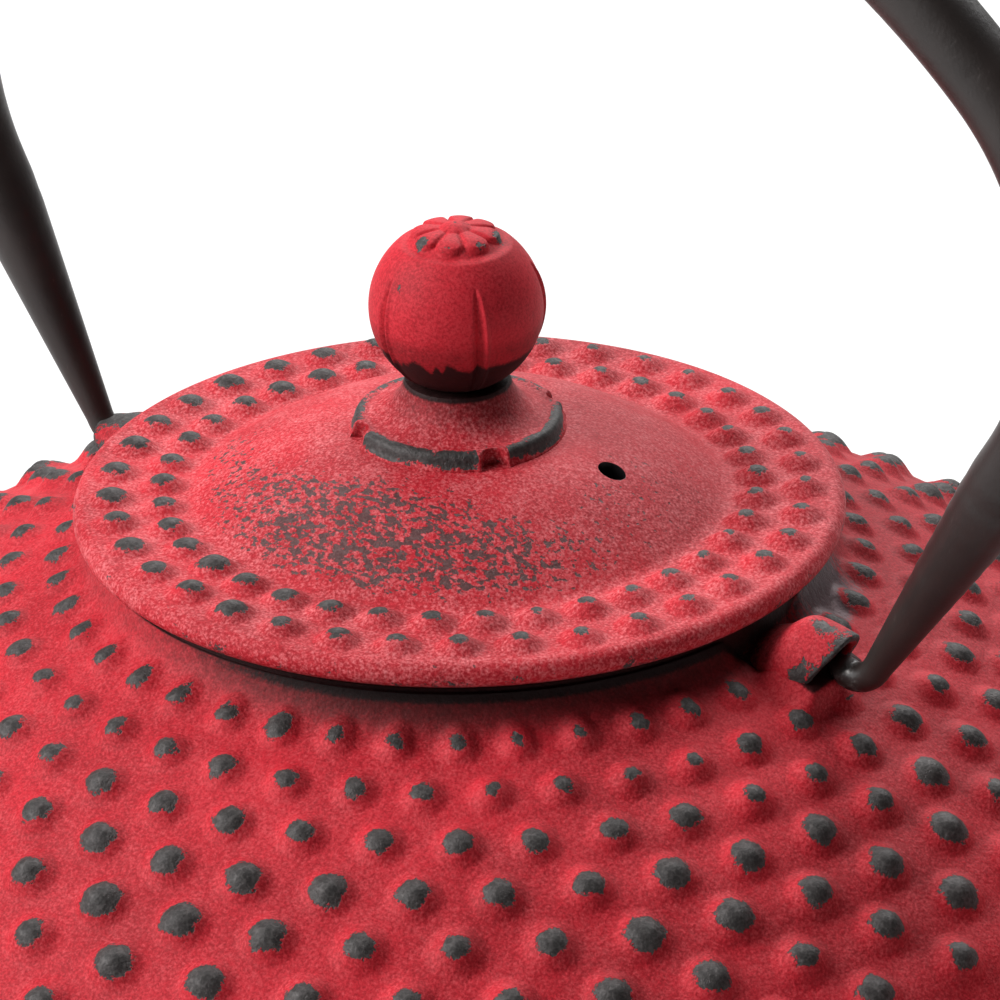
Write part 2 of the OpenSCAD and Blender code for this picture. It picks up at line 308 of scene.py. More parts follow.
class Level:
    """A socket in a finish's node tree. Sums and products on it add Math nodes."""

    def __init__(self, finish, socket):
        self.finish, self.socket = finish, socket

    def __add__(self, other):
        return self.finish.maths("ADD", self, other)

    def __sub__(self, other):
        return self.finish.maths("SUBTRACT", self, other)

    def __rsub__(self, other):
        return self.finish.maths("SUBTRACT", other, self)

    def __mul__(self, other):
        return self.finish.maths("MULTIPLY", self, other)

    __radd__ = __add__
    __rmul__ = __mul__


class Finish:
    """A material and its node tree. Patterns read Object coordinates, so sizes are real."""

    def __init__(self, name):
        self.material = bpy.data.materials.new(name)
        self.material.use_nodes = True
        self.tree = self.material.node_tree
        self.tree.nodes.clear()
        self.place = self.node("ShaderNodeTexCoord", out="Object")

    def node(self, kind, inputs=None, out=0, **settings):
        """A node of that kind: its settings first, then the values or links of its inputs."""
        made = self.tree.nodes.new(kind)
        for key, value in settings.items():
            setattr(made, key, value)
        for key, value in (inputs or {}).items():
            if isinstance(value, Level):
                self.tree.links.new(value.socket, made.inputs[key])
            else:
                made.inputs[key].default_value = value
        return Level(self, made.outputs[out]) if made.outputs else None

    def maths(self, operation, *values):
        return self.node("ShaderNodeMath", dict(enumerate(values)), operation=operation)

    def rise(self, value, low, high):
        """0 below low to 1 above high, smoothly."""
        return self.node("ShaderNodeMapRange", {"Value": value, "From Min": low, "From Max": high},
                         interpolation_type="SMOOTHSTEP")

    def mix(self, share, a, b):
        """Colour a where share is 0 and b where it is 1."""
        a, b = (v if isinstance(v, Level) else (*v, 1.0) for v in (a, b))
        return self.node("ShaderNodeMix", {0: share, 6: a, 7: b}, out=2, data_type="RGBA")

    def noise(self, size, detail=2.0, rough=0.5, stretch=(1, 1, 1), shift=0.0):
        """Noise with features of that size in metres, drawn out along an axis by stretch."""
        place = self.node("ShaderNodeMapping", {"Vector": self.place, "Location": (shift, shift, shift),
                                                "Scale": tuple(1 / s for s in stretch)})
        return self.node("ShaderNodeTexNoise", {"Vector": place, "Scale": 1 / size, "Detail": detail,
                                                "Roughness": rough})

    def cells(self, size, shift=0.0):
        """Distance to the nearest of scattered points, about size apart."""
        place = self.node("ShaderNodeMapping", {"Vector": self.place, "Location": (shift, shift, shift)})
        return self.node("ShaderNodeTexVoronoi", {"Vector": place, "Scale": 1 / size})

    def mark(self, name):
        """A number that the mesh carries at its points."""
        return self.node("ShaderNodeAttribute", out="Fac", attribute_name=name)

    def done(self, **sockets):
        """Puts the values and links on a Principled shader and returns the material."""
        named = {key.replace("_", " "): value for key, value in sockets.items()}
        shader = self.node("ShaderNodeBsdfPrincipled", named)
        self.node("ShaderNodeOutputMaterial", {"Surface": shader})
        return self.material

    def bump(self, height, depth, strength=1.0):
        """A relief whose height of 1 is depth metres."""
        return self.node("ShaderNodeBump", {"Height": height, "Distance": depth, "Strength": strength},
                         out="Normal")


def worn_paint(name, colours, grain=1.25, dust_and_sheen=0.28):
    """Matt red paint on sand-cast iron. Marks on the mesh drive it:
    bare is the way in mm inside a worn patch, fleck the share of small worn dots and rub the cover of brushed
    metal;
    a black mark covers with black primer and with painted black shadow, and a dark mark covers with painted
    shade.
    The pale grains stand for dust and also paint a sheen."""
    f = Finish(name)
    blotch = f.noise(1.5 * MM, 3, 0.55) - 0.5
    fine = f.noise(0.32 * MM, 2, 0.6, shift=0.3) - 0.5
    sand = f.noise(0.30 * MM, 3, 0.65, shift=0.1)
    grit = f.cells(0.55 * MM)
    broad = f.noise(16 * MM, 3, 0.5, shift=0.7)
    patch = f.rise(f.mark("bare") + blotch * 1.7 + fine * 1.1, -0.10, 0.10)
    dots = f.noise(0.74 * MM, 2.5, 0.62, stretch=(1.5, 1.0, 0.8), shift=0.2) + fine * 0.12
    share = f.mark("fleck")
    flecked = f.rise(dots + share * 0.25, 0.715, 0.785) * f.rise(share, 0.02, 0.12)
    strokes = f.noise(0.5 * MM, 4, 0.7, stretch=(9, 0.8, 3), shift=0.4)
    rubbed = f.rise(f.mark("rub") + (strokes - 0.5) * 1.2 + fine * 0.4, 0.30, 0.80)
    bare = f.maths("MAXIMUM", patch, flecked * 0.88)
    # black primer in the joints, and painted black shadow under the lid's rim, on the lip and in the lugs'
    # hollows
    black = f.rise(f.mark("primer_and_shade") + blotch * 0.35 + fine * 0.5, 0.25, 0.85)

    red = f.mix(f.rise(sand + broad * 0.6, 0.55, 1.0), colours.paint_thin, colours.paint)
    # Pale grains: dust on the sandy grain, and also a painted sheen that lightens the paint.
    pale = f.rise(sand - grit * 0.25 + f.noise(4 * MM, 2, shift=0.9) * 0.35, 0.40, 1.02)
    red = f.mix(pale * dust_and_sheen, red, colours.paint_dust_and_sheen)
    pits = f.rise(f.noise(0.45 * MM, 1, 0.5, shift=0.6), 0.70, 0.78)
    red = f.mix(pits * 0.75, red, colours.paint_thin)
    # painted shade: the paint darkens to the shade colour where the mesh marks it
    shade_tone = f.rise(f.mark("painted_shade") + blotch * 0.35 + fine * 0.4, 0.0, 1.0)
    red = f.mix(shade_tone * 0.93, red, colours.shade_tone)
    metal = f.mix(f.rise(fine + blotch, -0.25, 0.3), tuple(0.55 * v for v in colours.iron), colours.iron)
    metal = f.mix(f.rise(grit, 0.5, 0.9) * 0.4, metal, tuple(1.9 * v for v in colours.iron))
    brushed = f.mix(strokes, tuple(0.4 * v for v in colours.iron), (0.105, 0.105, 0.115))
    skin = f.mix(bare, red, metal)
    skin = f.mix(rubbed * 0.92, skin, brushed)
    skin = f.mix(black * 0.94, skin, colours.primer_and_shade)
    relief = sand * 0.55 + grit * 0.25 + f.noise(1.1 * MM, 2, 0.5, shift=0.5) * 0.9
    relief = relief * grain - bare * 0.55 - f.rise(fine + blotch * 0.6, 0.10, 0.25) * bare * 0.5
    return f.done(Base_Color=skin, Roughness=0.62 - bare * 0.10 - rubbed * 0.16 + pale * 0.08,
                  Metallic=bare * 0.25 + rubbed * 0.35, Normal=f.bump(relief, 0.11 * MM, 0.8),
                  Specular_IOR_Level=0.16)


def black_enamel(name):
    """Glossy black enamel on the inside of the casting, with a faint orange peel."""
    f = Finish(name)
    peel = f.noise(1.8 * MM, 2, 0.5)
    haze = f.noise(9 * MM, 3, 0.6)
    shade = f.mix(f.rise(haze, 0.4, 0.75), (0.006, 0.006, 0.007), (0.018, 0.016, 0.016))
    return f.done(Base_Color=shade, Roughness=0.22 + haze * 0.2, Normal=f.bump(peel, 0.10 * MM, 0.6))


def satin_enamel(name, colours):
    """Black-brown satin enamel of the handle: brushed by hands, grey where the hooks rub."""
    f = Finish(name)
    peel = f.noise(1.6 * MM, 3, 0.55)
    grain = f.noise(0.35 * MM, 2, 0.6, shift=0.2)
    cloud = f.noise(14 * MM, 3, 0.6, shift=0.4)
    scuff = f.rise(f.noise(0.7 * MM, 3, 0.65, stretch=(1, 1, 6), shift=0.6), 0.66, 0.74)
    worn = f.rise(f.mark("bare") + (peel - 0.5) * 0.9 + (grain - 0.5) * 0.5, 0.35, 0.75)
    shade = f.mix(f.rise(cloud, 0.35, 0.7), colours.enamel, tuple(1.7 * v for v in colours.enamel))
    shade = f.mix(scuff * 0.35, shade, (0.06, 0.05, 0.046))
    shade = f.mix(worn * 0.8, shade, (0.26, 0.25, 0.24))
    return f.done(Base_Color=shade, Roughness=0.36 + cloud * 0.14 - worn * 0.06, Metallic=worn * 0.7,
                  Normal=f.bump(peel * 0.6 + grain * 0.25, 0.09 * MM, 0.8))


def brushed_steel(name, colours):
    """Stainless sheet with fine lines round the axis and water stains."""
    f = Finish(name)
    lines = f.noise(0.25 * MM, 3, 0.6, stretch=(14, 14, 1))
    stain = f.noise(7 * MM, 3, 0.6, shift=0.3)
    shade = f.mix(f.rise(stain, 0.45, 0.75) * 0.5, colours.steel, (0.40, 0.37, 0.33))
    return f.done(Base_Color=shade, Metallic=1.0, Roughness=0.24 + lines * 0.14 + stain * 0.08,
                  Normal=f.bump(lines, 0.02 * MM, 0.5))


def finish(name):
    """A finish by name, made the first time that a piece asks for it."""
    colours = bpy.context.scene.pot_finish
    makers = {
        "red_paint": lambda: worn_paint("red_paint", colours),
        # the lid takes the most pale grains, as dust and as painted sheen
        "lid_paint": lambda: worn_paint("lid_paint", colours, grain=1.35, dust_and_sheen=1.0),
        "ball_paint": lambda: worn_paint("ball_paint", colours, grain=0.35, dust_and_sheen=0.12),
        "black_enamel": lambda: black_enamel("black_enamel"),
        "satin_enamel": lambda: satin_enamel("satin_enamel", colours),
        "brushed_steel": lambda: brushed_steel("brushed_steel", colours),
    }
    return bpy.data.materials.get(name) or makers[name]()


# ---------------------------------------------------------------- body

BELLY_Z = LID_Z - 49.2 * MM
SHOULDER_R = 170 * MM
TURN_R = 27 * MM
LOWER_R = 42 * MM
MEET = math.radians(90 - 34.5)
UNDER = math.radians(62)
LIP_R = 40 * MM
BODY_START_R = LIP_R + 0.6 * MM
TURN_C = np.array([BELLY_R - TURN_R, BELLY_Z])
LOWER_C = np.array([BELLY_R - LOWER_R, BELLY_Z])
SHOULDER_C = TURN_C + (TURN_R - SHOULDER_R) * np.array([math.cos(MEET), math.sin(MEET)])
START = math.acos((BODY_START_R - SHOULDER_C[0]) / SHOULDER_R)
SHOULDER_WAY = SHOULDER_R * (START - MEET)
TURN_WAY = TURN_R * MEET
BODY_WAY = SHOULDER_WAY + TURN_WAY + LOWER_R * UNDER
MOUTH_R = 35 * MM
LEDGE_R = 38.2 * MM
FOOT_R = 54 * MM
COVE_FOOT_R = 44.6 * MM
COVE_TOP = np.array([BODY_START_R, LIP_Z - 0.6 * MM])


def body_line(way, inwards=0.0):
    """Radius, height and outward normal of the body at a way along its outside from the lip:
    three arcs that share their tangents, the shoulder, the turn and the curve under the belly."""
    way = np.asarray(way, float)
    on_shoulder = way < SHOULDER_WAY
    on_turn = way < SHOULDER_WAY + TURN_WAY
    a = np.where(on_shoulder, START - way / SHOULDER_R,
                 np.where(on_turn, MEET - (way - SHOULDER_WAY) / TURN_R,
                          -(way - SHOULDER_WAY - TURN_WAY) / LOWER_R))
    radius = np.where(on_shoulder, SHOULDER_R, np.where(on_turn, TURN_R, LOWER_R)) - inwards
    centre_r = np.where(on_shoulder, SHOULDER_C[0], np.where(on_turn, TURN_C[0], LOWER_C[0]))
    centre_z = np.where(on_shoulder, SHOULDER_C[1], np.where(on_turn, TURN_C[1], LOWER_C[1]))
    return centre_r + radius * np.cos(a), centre_z + radius * np.sin(a), np.cos(a), np.sin(a)


def cove_lift(way):
    """Shift in radius and height that turns the shoulder's first stretch into a cove below the lip:
    a parabola's two tangents, steep at the lip and along the shoulder at its foot."""
    foot_way = SHOULDER_R * (START - math.acos((COVE_FOOT_R - SHOULDER_C[0]) / SHOULDER_R))
    foot_r, foot_z, out_r, out_z = (float(v) for v in body_line(foot_way))
    t = np.clip(way / foot_way, 0, 1)[:, None]
    foot = np.array([foot_r, foot_z])
    knee = foot - np.array([out_z, -out_r]) * 3.1 * MM
    cove = (1 - t) ** 2 * COVE_TOP + 2 * t * (1 - t) * knee + t ** 2 * foot
    radius, height, _, _ = body_line(way)
    return np.where(t < 1, cove - np.stack([radius, height], axis=1), 0)


def hobnails(along, angle, rings, count, draw, blunt=2.0):
    """Height and bare marks of rings of hobnails on a grid of ways by angles.
    A hobnail falls from its centre as (1 - q²)^blunt, q being the distance over its base radius;
    each one's place, height and worn patch vary a little at random."""
    height = np.zeros((len(along), len(angle)))
    bare = np.full(height.shape, -3.0)
    pitch = TURN / count
    for ring in rings:
        off_along, off_around = draw.normal(0, 0.10 * MM, (2, count))
        tall = draw.uniform(0.88, 1.08, count)
        worn = ring["worn"](phase_angles(ring["phase"], count)) * draw.uniform(0.74, 1.12, count)
        near = np.abs(along - ring["way"]) < ring["base"] * 1.3
        step = np.rint((angle - ring["phase"]) / pitch).astype(int)
        which = step % count
        around = (angle - ring["phase"] - step * pitch) * ring["radius"] - off_around[which]
        d = np.hypot(along[near, None] - ring["way"] - off_along[which], around)
        q = np.clip(1 - (d / ring["base"]) ** 2, 0, None)
        height[near] = np.maximum(height[near], ring["height"] * tall[which] * q ** blunt)
        bare[near] = np.maximum(bare[near], (ring["base"] * worn[which] - d) / MM)
    return height, bare


def phase_angles(phase, count):
    """Directions of a ring's hobnails, from -pi to pi."""
    return (phase + np.arange(count) * TURN / count + math.pi) % TURN - math.pi


def bump_at(angle, centre, width):
    """A smooth bump of 1 at centre, in radians round the axis, falling to 0 at width."""
    off = np.abs((angle - math.radians(centre) + math.pi) % TURN - math.pi)
    return smooth(off, math.radians(width), 0)


# Lugs: a hood over the swing axis at each side, open outwards
LUG_TOP_X = 46.2 * MM
LUG_BACK = 5.9 * MM
LUG_R = 5.0 * MM
LUG_MOUTH_R = 4.35 * MM
LUG_HOLLOW_R = 3.15 * MM
LUG_HOLLOW_X = 45.4 * MM
LUG_END_X = 51.0 * MM

# Spout: a curve in the XZ plane through three guide points
SPOUT_TIP_R = 8.5 * MM
SPOUT_ROOT_R = 16 * MM
SPOUT_WALL = 2.6 * MM
SPOUT_GUIDES = np.array([[74, LID_Z / MM - 52], [105, LID_Z / MM - 48], [113, LID_Z / MM - 13]]) * MM


def spout_line(t):
    """Place, direction and radius along the spout, t from 0 at the root to 1 at the mouth."""
    t = np.asarray(t, float)[:, None]
    p, q, r = SPOUT_GUIDES
    place = (1 - t) ** 2 * p + 2 * t * (1 - t) * q + t ** 2 * r
    way = (1 - t) * (q - p) + t * (r - q)
    radius = SPOUT_TIP_R + (SPOUT_ROOT_R - SPOUT_TIP_R) * np.clip(1 - t, 0, None) ** 1.6
    return place, way / np.linalg.norm(way, axis=1, keepdims=True), radius[:, 0]


def lug_way(points):
    """How far points lie outside the lugs' hoods, in plan."""
    x, y = np.abs(points[..., 0]), np.abs(points[..., 1])
    beyond = np.maximum(x - LUG_END_X + 2.2 * MM, LUG_TOP_X - x - 5.4 * MM)
    return np.hypot(np.clip(beyond, 0, None), np.clip(y - LUG_R + 0.6 * MM, 0, None))


def spout_way(points):
    """How far points lie outside the spout's skin."""
    place, _, radius = spout_line(np.linspace(0, 1, 24))
    far = np.full(points.shape[:-1], 1.0)
    for p, r in zip(place, radius):
        far = np.minimum(far, np.linalg.norm(points - [p[0], 0, p[1]], axis=-1) - r)
    return far


def body_fields(way, angle, settings):
    """Points, and marks for the finish, over the body's outside."""
    draw = np.random.default_rng(11)
    radius, height, out_r, out_z = (v[:, None] for v in body_line(way))
    rings = []
    for j in range(settings.rings):
        at = settings.first_ring + j * settings.ring_pitch
        grow = smooth(j, -1.6, 4.5)
        rings.append({
            "way": at, "radius": float(body_line(at)[0]),
            "phase": 0 if j % 2 else TURN / settings.columns / 2,
            "base": settings.hobnail_radius * (0.72 + 0.28 * grow),
            "height": settings.hobnail_height * (0.62 + 0.38 * grow),
            "worn": lambda a, j=j: 0.46 + 0.09 * grow_worn(j) - thin_wear(a) * smooth(j, 3.4, 0.0),
        })
    tall, bare = hobnails(way, angle, rings, settings.columns, draw)
    plain = turned(radius, height, angle)
    from_lug = lug_way(plain)
    clear = smooth(from_lug, 0.2 * MM, 2.4 * MM) * smooth(spout_way(plain), 0.5 * MM, 4.0 * MM)
    bare = np.where(clear > 0.9, bare, np.minimum(bare, -0.5 - 2 * (1 - clear)))
    outwards = smooth(np.abs(plain[..., 0]), 42.5 * MM, 45 * MM)
    fillet = 2.3 * MM * smooth(from_lug, 2.6 * MM, 0) ** 1.4 * outwards
    wave = 0.10 * MM * (np.sin(5 * angle + 40 * way[:, None] / SHOULDER_WAY)
                        + np.sin(9 * angle - 23 * way[:, None] / SHOULDER_WAY + 2)) * 0.5
    lift = tall * clear + fillet + wave * smooth(way, 0, 6 * MM)[:, None]
    cove = cove_lift(way)
    by_lug = smooth(from_lug, 0.0, 3.2 * MM)
    points = turned(radius + cove[:, :1] * by_lug + out_r * lift,
                    height + cove[:, 1:] * by_lug + out_z * lift, angle)
    degrees = (np.degrees(angle) + 180) % 360 - 180
    # Painted shadow under the lid's rim: a black band right below the lip and a dark painted shade for some
    # millimetres below it, both strongest on the side towards the camera and weaker round the back; the
    # brushed patch is left out of the shade.
    front = (0.25 + 0.75 * smooth(degrees, -112, -64)) * (1 - 0.6 * smooth(degrees, -14, 4))
    near_lip = smooth(way, 1.1 * MM, 0.3 * MM)[:, None]
    painted_shade = smooth(way[:, None], (2.4 + 3.2 * front) * MM, 0.6 * MM) * (0.22 + 0.66 * front)
    in_lug = smooth(from_lug, 0.6 * MM, -0.1 * MM)
    patch = bump_at(angle, 17, 21) * smooth(way, 7.6 * MM, 2.6 * MM)[:, None]
    patch = patch * smooth(tall, 0.8 * MM, 0.2 * MM)
    primer_and_shade = np.maximum(near_lip * front, in_lug)
    under = smooth(way, BODY_WAY - 8 * MM, BODY_WAY)[:, None]
    return points, {"bare": bare, "primer_and_shade": np.maximum(primer_and_shade, 0.5 * under), "rub": patch,
                    "painted_shade": painted_shade * (1 - patch)}


def grow_worn(ring):
    """Share by which wear grows from the lip's rings down to the flank's."""
    return float(smooth(ring, -0.5, 4.0))


def thin_wear(angle):
    """Where the rings by the lip kept more paint."""
    return 0.16 * smooth(np.abs(angle - math.radians(-42)), math.radians(38), math.radians(6))


def wall_line(first, last, settings, step):
    """Inside of the wall from way last back to way first, as [radius, height]."""
    way = np.linspace(last, first, step)
    radius, height, _, _ = body_line(way, settings.wall)
    return np.stack([radius, height], axis=1)


def body_ring(name, full, rows, extra, walls, columns):
    """A closed ring of the body: the outside's rows and the extra inside points turned round the axis.
    The first walls rows of the inside are enamelled, and the rest, the lip, is painted black as the shadow
    under the lid's rim."""
    points, marks, normals = full
    angle = np.arange(columns) * TURN / columns
    inside = turned(extra[:, :1], extra[:, 1:], angle)
    whole = np.concatenate([points[rows], inside])
    direct = grid_normals(np.concatenate([whole[-1:], whole, whole[:1]]))[1:-1]
    direct[:rows.stop - rows.start] = normals[rows]
    pad = np.zeros((len(extra), columns))
    # painted shadow: the lip's rows are painted black, as shade under the lid's rim
    blank = {"bare": -3, "primer_and_shade": 1.2}
    kept = {key: np.concatenate([np.broadcast_to(value, points.shape[:2])[rows], pad + blank.get(key, 0)])
            for key, value in marks.items()}
    count = rows.stop - rows.start
    inner = np.arange(count, count + walls)
    return grid_piece(name, whole, [finish("red_paint"), finish("black_enamel")], ring=True, normals=direct,
                      inner_rows=inner, marks=kept, crease=0)


class TEAPOT_OT_body(bpy.types.Operator):
    """Make the body: a hobnailed shoulder, flank and belly, and the smooth base with its foot"""
    bl_idname = "teapot.body"
    bl_label = "Body"

    def execute(self, context):
        s = context.scene.pot_casting
        per_hobnail = 20
        columns = s.columns * per_hobnail
        angle = np.arange(columns) * TURN / columns
        joints = [s.first_ring + s.ring_pitch * rings for rings in (3.5, 7.5, s.rings)]
        spacing = [0.30 * MM, 0.30 * MM, 0.52 * MM]
        starts = [0.0] + joints[:-1]
        ways = [np.linspace(a, b, int((b - a) / step) + 1) for a, b, step in zip(starts, joints, spacing)]
        way = np.concatenate([ways[0], ways[1][1:], ways[2][1:], [joints[2] + spacing[2]]])
        points, marks = body_fields(way, angle, s)
        full = (points, marks, grid_normals(points))
        ends = np.cumsum([0, len(ways[0]) - 1, len(ways[1]) - 1, len(ways[2]) - 1])
        neck_z = LID_Z - 10.8 * MM
        lip = rounded([[MOUTH_R, neck_z], [MOUTH_R, LEDGE_Z], [LEDGE_R, LEDGE_Z], [LEDGE_R, LIP_Z],
                       [LIP_R, LIP_Z], [LIP_R + 0.1 * MM, LIP_Z - 0.75 * MM]],
                      [0.2 * MM, 0.2 * MM, 0.3 * MM, 0.6 * MM], 4)
        top = np.concatenate([wall_line(7 * MM, joints[0], s, 5), lip])
        extras = [top, wall_line(joints[0], joints[1], s, 5), wall_line(joints[1], joints[2], s, 12)]
        names = ["pot_shoulder", "pot_flank", "pot_belly"]
        wall_rows = [5 + 2, 5, 12]  # the enamel runs on over the neck's first two rows
        for k, name in enumerate(names):
            rows = slice(int(ends[k]), int(ends[k + 1]) + 1)
            piece = body_ring(name, full, rows, extras[k], wall_rows[k], columns)
            fit(piece, "pot", "painted_iron", "pot")
        self.base(s, joints[2])
        return {"FINISHED"}

    def base(self, s, start):
        """The smooth lower body: outside to the foot, and the inside floor, closed at both poles."""
        columns = 288
        angle = np.arange(columns) * TURN / columns
        way = np.linspace(start, BODY_WAY, 24)
        radius, height, _, _ = body_line(way)
        outside = np.stack([radius, height], axis=1)
        foot = rounded([outside[-1], [FOOT_R + 0.6 * MM, 2.2 * MM], [FOOT_R, 0.0], [FOOT_R - 7 * MM, 0.0],
                        [FOOT_R - 8 * MM, 0.9 * MM], [3 * MM, 1.1 * MM]],
                       [2.5 * MM, 0.8 * MM, 0.8 * MM, 0.5 * MM], 6)
        outer = np.concatenate([outside[:-1], even(foot, 2.5 * MM)])
        floor = rounded([[4 * MM, 5 * MM], [44 * MM, 5 * MM], *wall_line(start, BODY_WAY, s, 12)],
                        [6 * MM] + [0] * 11, 6)
        inner = even(floor, 4 * MM)[::-1]
        line = np.concatenate([inner[::-1], outer])
        split = len(inner)
        points = turned(line[:, :1], line[:, 1:], angle)
        base_marks = np.zeros((len(line), columns))
        marks = {}
        foot_rows = (line[:, 1] < 1.0 * MM) & (np.arange(len(line)) >= split)
        marks["bare"] = np.where(foot_rows[:, None], 0.3, -3.0) + base_marks
        marks["primer_and_shade"] = np.where((np.arange(len(line)) >= split)[:, None],
                                 0.5 * smooth(line[:, 1:], 12 * MM, 3 * MM), 0.0) + base_marks
        piece = grid_piece("pot_base", points, [finish("red_paint"), finish("black_enamel")], poles=True,
                           inner_rows=np.arange(split), marks=marks, crease=40)
        fit(piece, "pot", "painted_iron", "pot")


class TEAPOT_OT_lugs(bpy.types.Operator):
    """Make the two lugs that hold the handle's hooks"""
    bl_idname = "teapot.lugs"
    bl_label = "Lugs"

    def execute(self, context):
        for side, name in ((1, "lug_spout_side"), (-1, "lug_back_side")):
            self.hood(side, name)
        return {"FINISHED"}

    def hood(self, side, name):
        """A hood carried round the swing axis: back, crown, rim and hollow as one closed outline;
        its mouth leans, so that the crown stands out past the sides. The crown dips under the lid's rim."""
        columns = 144
        angle = np.arange(columns) * TURN / columns
        a = np.linspace(0.03, math.pi / 2, 22)
        back = np.stack([LUG_TOP_X - LUG_BACK * np.cos(a) ** 0.9, LUG_R * np.sin(a) ** 0.5], axis=1)
        t = np.linspace(0, 1, 22)[1:]
        crown = np.stack([LUG_TOP_X + t * (LUG_END_X - LUG_TOP_X),
                          LUG_R - (LUG_R - LUG_MOUTH_R) * t ** 1.4], axis=1)
        rim_r = (LUG_MOUTH_R - LUG_HOLLOW_R) / 2
        rim = arc([LUG_END_X, LUG_HOLLOW_R + rim_r], rim_r, 90, -90, 12)[1:]
        hollow = np.stack([np.linspace(LUG_END_X, LUG_HOLLOW_X, 10)[1:], np.full(9, LUG_HOLLOW_R)], axis=1)
        end = np.array([[LUG_HOLLOW_X, LUG_HOLLOW_R * 0.6], [LUG_HOLLOW_X, 0.2 * MM]])
        line = np.concatenate([back, crown, rim, hollow, end])
        rows = len(line)
        skin = len(back) + len(crown)  # rows before the rim
        x, rho = line[:, :1], line[:, 1:]
        up = np.cos(angle)[None, :]
        lean = math.tan(math.radians(30))
        crown_top, deepest_cut = 4.2 * MM, 6.5 * MM
        cut = np.clip(crown_top - rho * up, 0, deepest_cut) * lean
        forward = np.clip((x - LUG_TOP_X) / (LUG_END_X - LUG_TOP_X), 0, 1.2)
        x_cut = x - cut * forward
        wobble = 0.10 * MM * (np.sin(3 * angle + 1.3 * side) + np.sin(5 * angle + 2) * 0.6)[None, :]
        row = np.arange(rows)[:, None]
        rough = wobble * smooth(row, 2, 12) * smooth(row, rows - 8, rows - 20)
        r = rho + rough
        # the crown dips under the lid's rim, and the worn back lug is lower all along
        low_back = 0.36 * smooth(x_cut, 46.4 * MM, 42.6 * MM)
        outside = row < skin + 9
        if side > 0:
            crown_height = np.where(outside, 1 - low_back, 1.0)
        else:
            crown_height = (np.where(outside, 0.66, 0.72) - np.where(outside, 0.16, 0.12)
                            * smooth(x_cut, 47.5 * MM, 51 * MM)) * np.where(outside, 1 - 0.5 * low_back, 1.0)
        dip = np.where(up > 0, crown_height, 1.0)
        points = np.stack([side * x_cut, side * r * np.sin(angle), PIVOT_Z + r * up * dip], axis=-1)
        outer = skin + 1
        rim_mark = 0.55 - np.abs(row - outer - 1) * 0.10
        crest = 0.75 - np.hypot((x_cut - 48.3 * MM) / MM / 1.9, (r * np.sin(angle) + 0.4 * MM) / MM / 1.5)
        flank = 0.75 - np.hypot((x_cut - 48.0 * MM) / MM / 1.2, (r * up - 0.6 * MM) / MM / 2.0)
        flank = flank - (side * np.sin(angle) > 0)
        if side < 0:
            crest = 0.9 - np.abs(r * np.sin(angle)) / MM / 2.6
        bare = np.maximum(np.maximum(rim_mark + 0 * up, crest), flank)
        # Painted shade: the hollow inside the hood is painted black, the hood's lower side and its inner end
        # by the lid's rim darken, and the whole back lug darkens a little.
        inside = smooth(row, outer + 8, outer + 12) + 0 * up
        skirt = smooth(r * up, -0.5 * MM, -3.0 * MM) * 0.20 + smooth(x_cut, 43.4 * MM, 42.2 * MM) * 0.6
        if side < 0:
            skirt = np.maximum(skirt, 0.36)
        marks = {"bare": np.where(inside > 0.5, -3, bare), "primer_and_shade": np.maximum(inside, skirt),
                 "fleck": 0.06 + 0 * bare,
                 "painted_shade": 0.6 * smooth(x_cut, 45.4 * MM, 43.4 * MM) + 0 * bare}
        piece = grid_piece(name, points, [finish("red_paint")], poles=True, marks=marks, crease=60)
        fit(piece, "pot", "painted_iron", "pot")


class TEAPOT_OT_spout(bpy.types.Operator):
    """Make the spout: a tapering tube along a curve, flared where it leaves the body"""
    bl_idname = "teapot.spout"
    bl_label = "Spout"

    def execute(self, context):
        columns = 160
        angle = np.arange(columns) * TURN / columns
        t = np.linspace(0, 1, 90)
        place, way, radius = spout_line(t)
        flare = 3.2 * MM * smooth(t, 0.36, 0.05) ** 1.4
        outside = self.rings(place, way, radius + flare, angle)
        tip_place, tip_way, tip_radius = place[-1], way[-1], radius[-1]
        lip_r = SPOUT_WALL / 2
        lip = arc([0, 0], lip_r, 0, 180, 9)[1:-1]
        lips = [self.rings((tip_place + tip_way * h)[None], tip_way[None],
                           np.array([tip_radius - lip_r + w]), angle) for w, h in lip]
        bore = self.rings(place[::-3], way[::-3], radius[::-3] - SPOUT_WALL, angle)
        points = np.concatenate([outside, *lips, bore])
        rows = len(points)
        index = np.arange(rows)[:, None]
        bore_from = len(outside) + len(lip)
        edge = np.abs(index - len(outside) - len(lip) // 2)
        bare = np.where(edge < 8, 0.15 - 0.12 * edge, -3.0) + np.zeros((rows, columns))
        inner = np.arange(bore_from, rows)
        primer_and_shade = smooth(index, bore_from, bore_from + 3) + np.zeros((rows, columns))
        marks = {"bare": bare, "primer_and_shade": primer_and_shade, "fleck": 0.05 + 0 * bare}
        piece = grid_piece("spout", points, [finish("red_paint"), finish("black_enamel")], ring=True,
                           inner_rows=inner, marks=marks, crease=60)
        fit(piece, "pot", "painted_iron", "pot")
        return {"FINISHED"}

    def rings(self, place, way, radius, angle):
        """Circles about the curve's points, square to its direction."""
        side = np.stack([-way[:, 1], way[:, 0]], axis=1)
        c, s = np.cos(angle), np.sin(angle)
        x = place[:, :1] + side[:, :1] * radius[:, None] * c
        z = place[:, 1:] + side[:, 1:] * radius[:, None] * c
        return np.stack([x, radius[:, None] * s + 0 * x, z], axis=-1)


# ---------------------------------------------------------------- lid and knob

def dome_height(radius, settings):
    """Height of the dome over the lid plane: a quarter wave from its edge up to the collar's pad."""
    pad = 10.4 * MM
    share = np.clip((settings.dome_radius - radius) / (settings.dome_radius - pad), 0, 1)
    return -settings.band_drop + (CROWN + settings.band_drop) * np.sin(share * math.pi / 2)


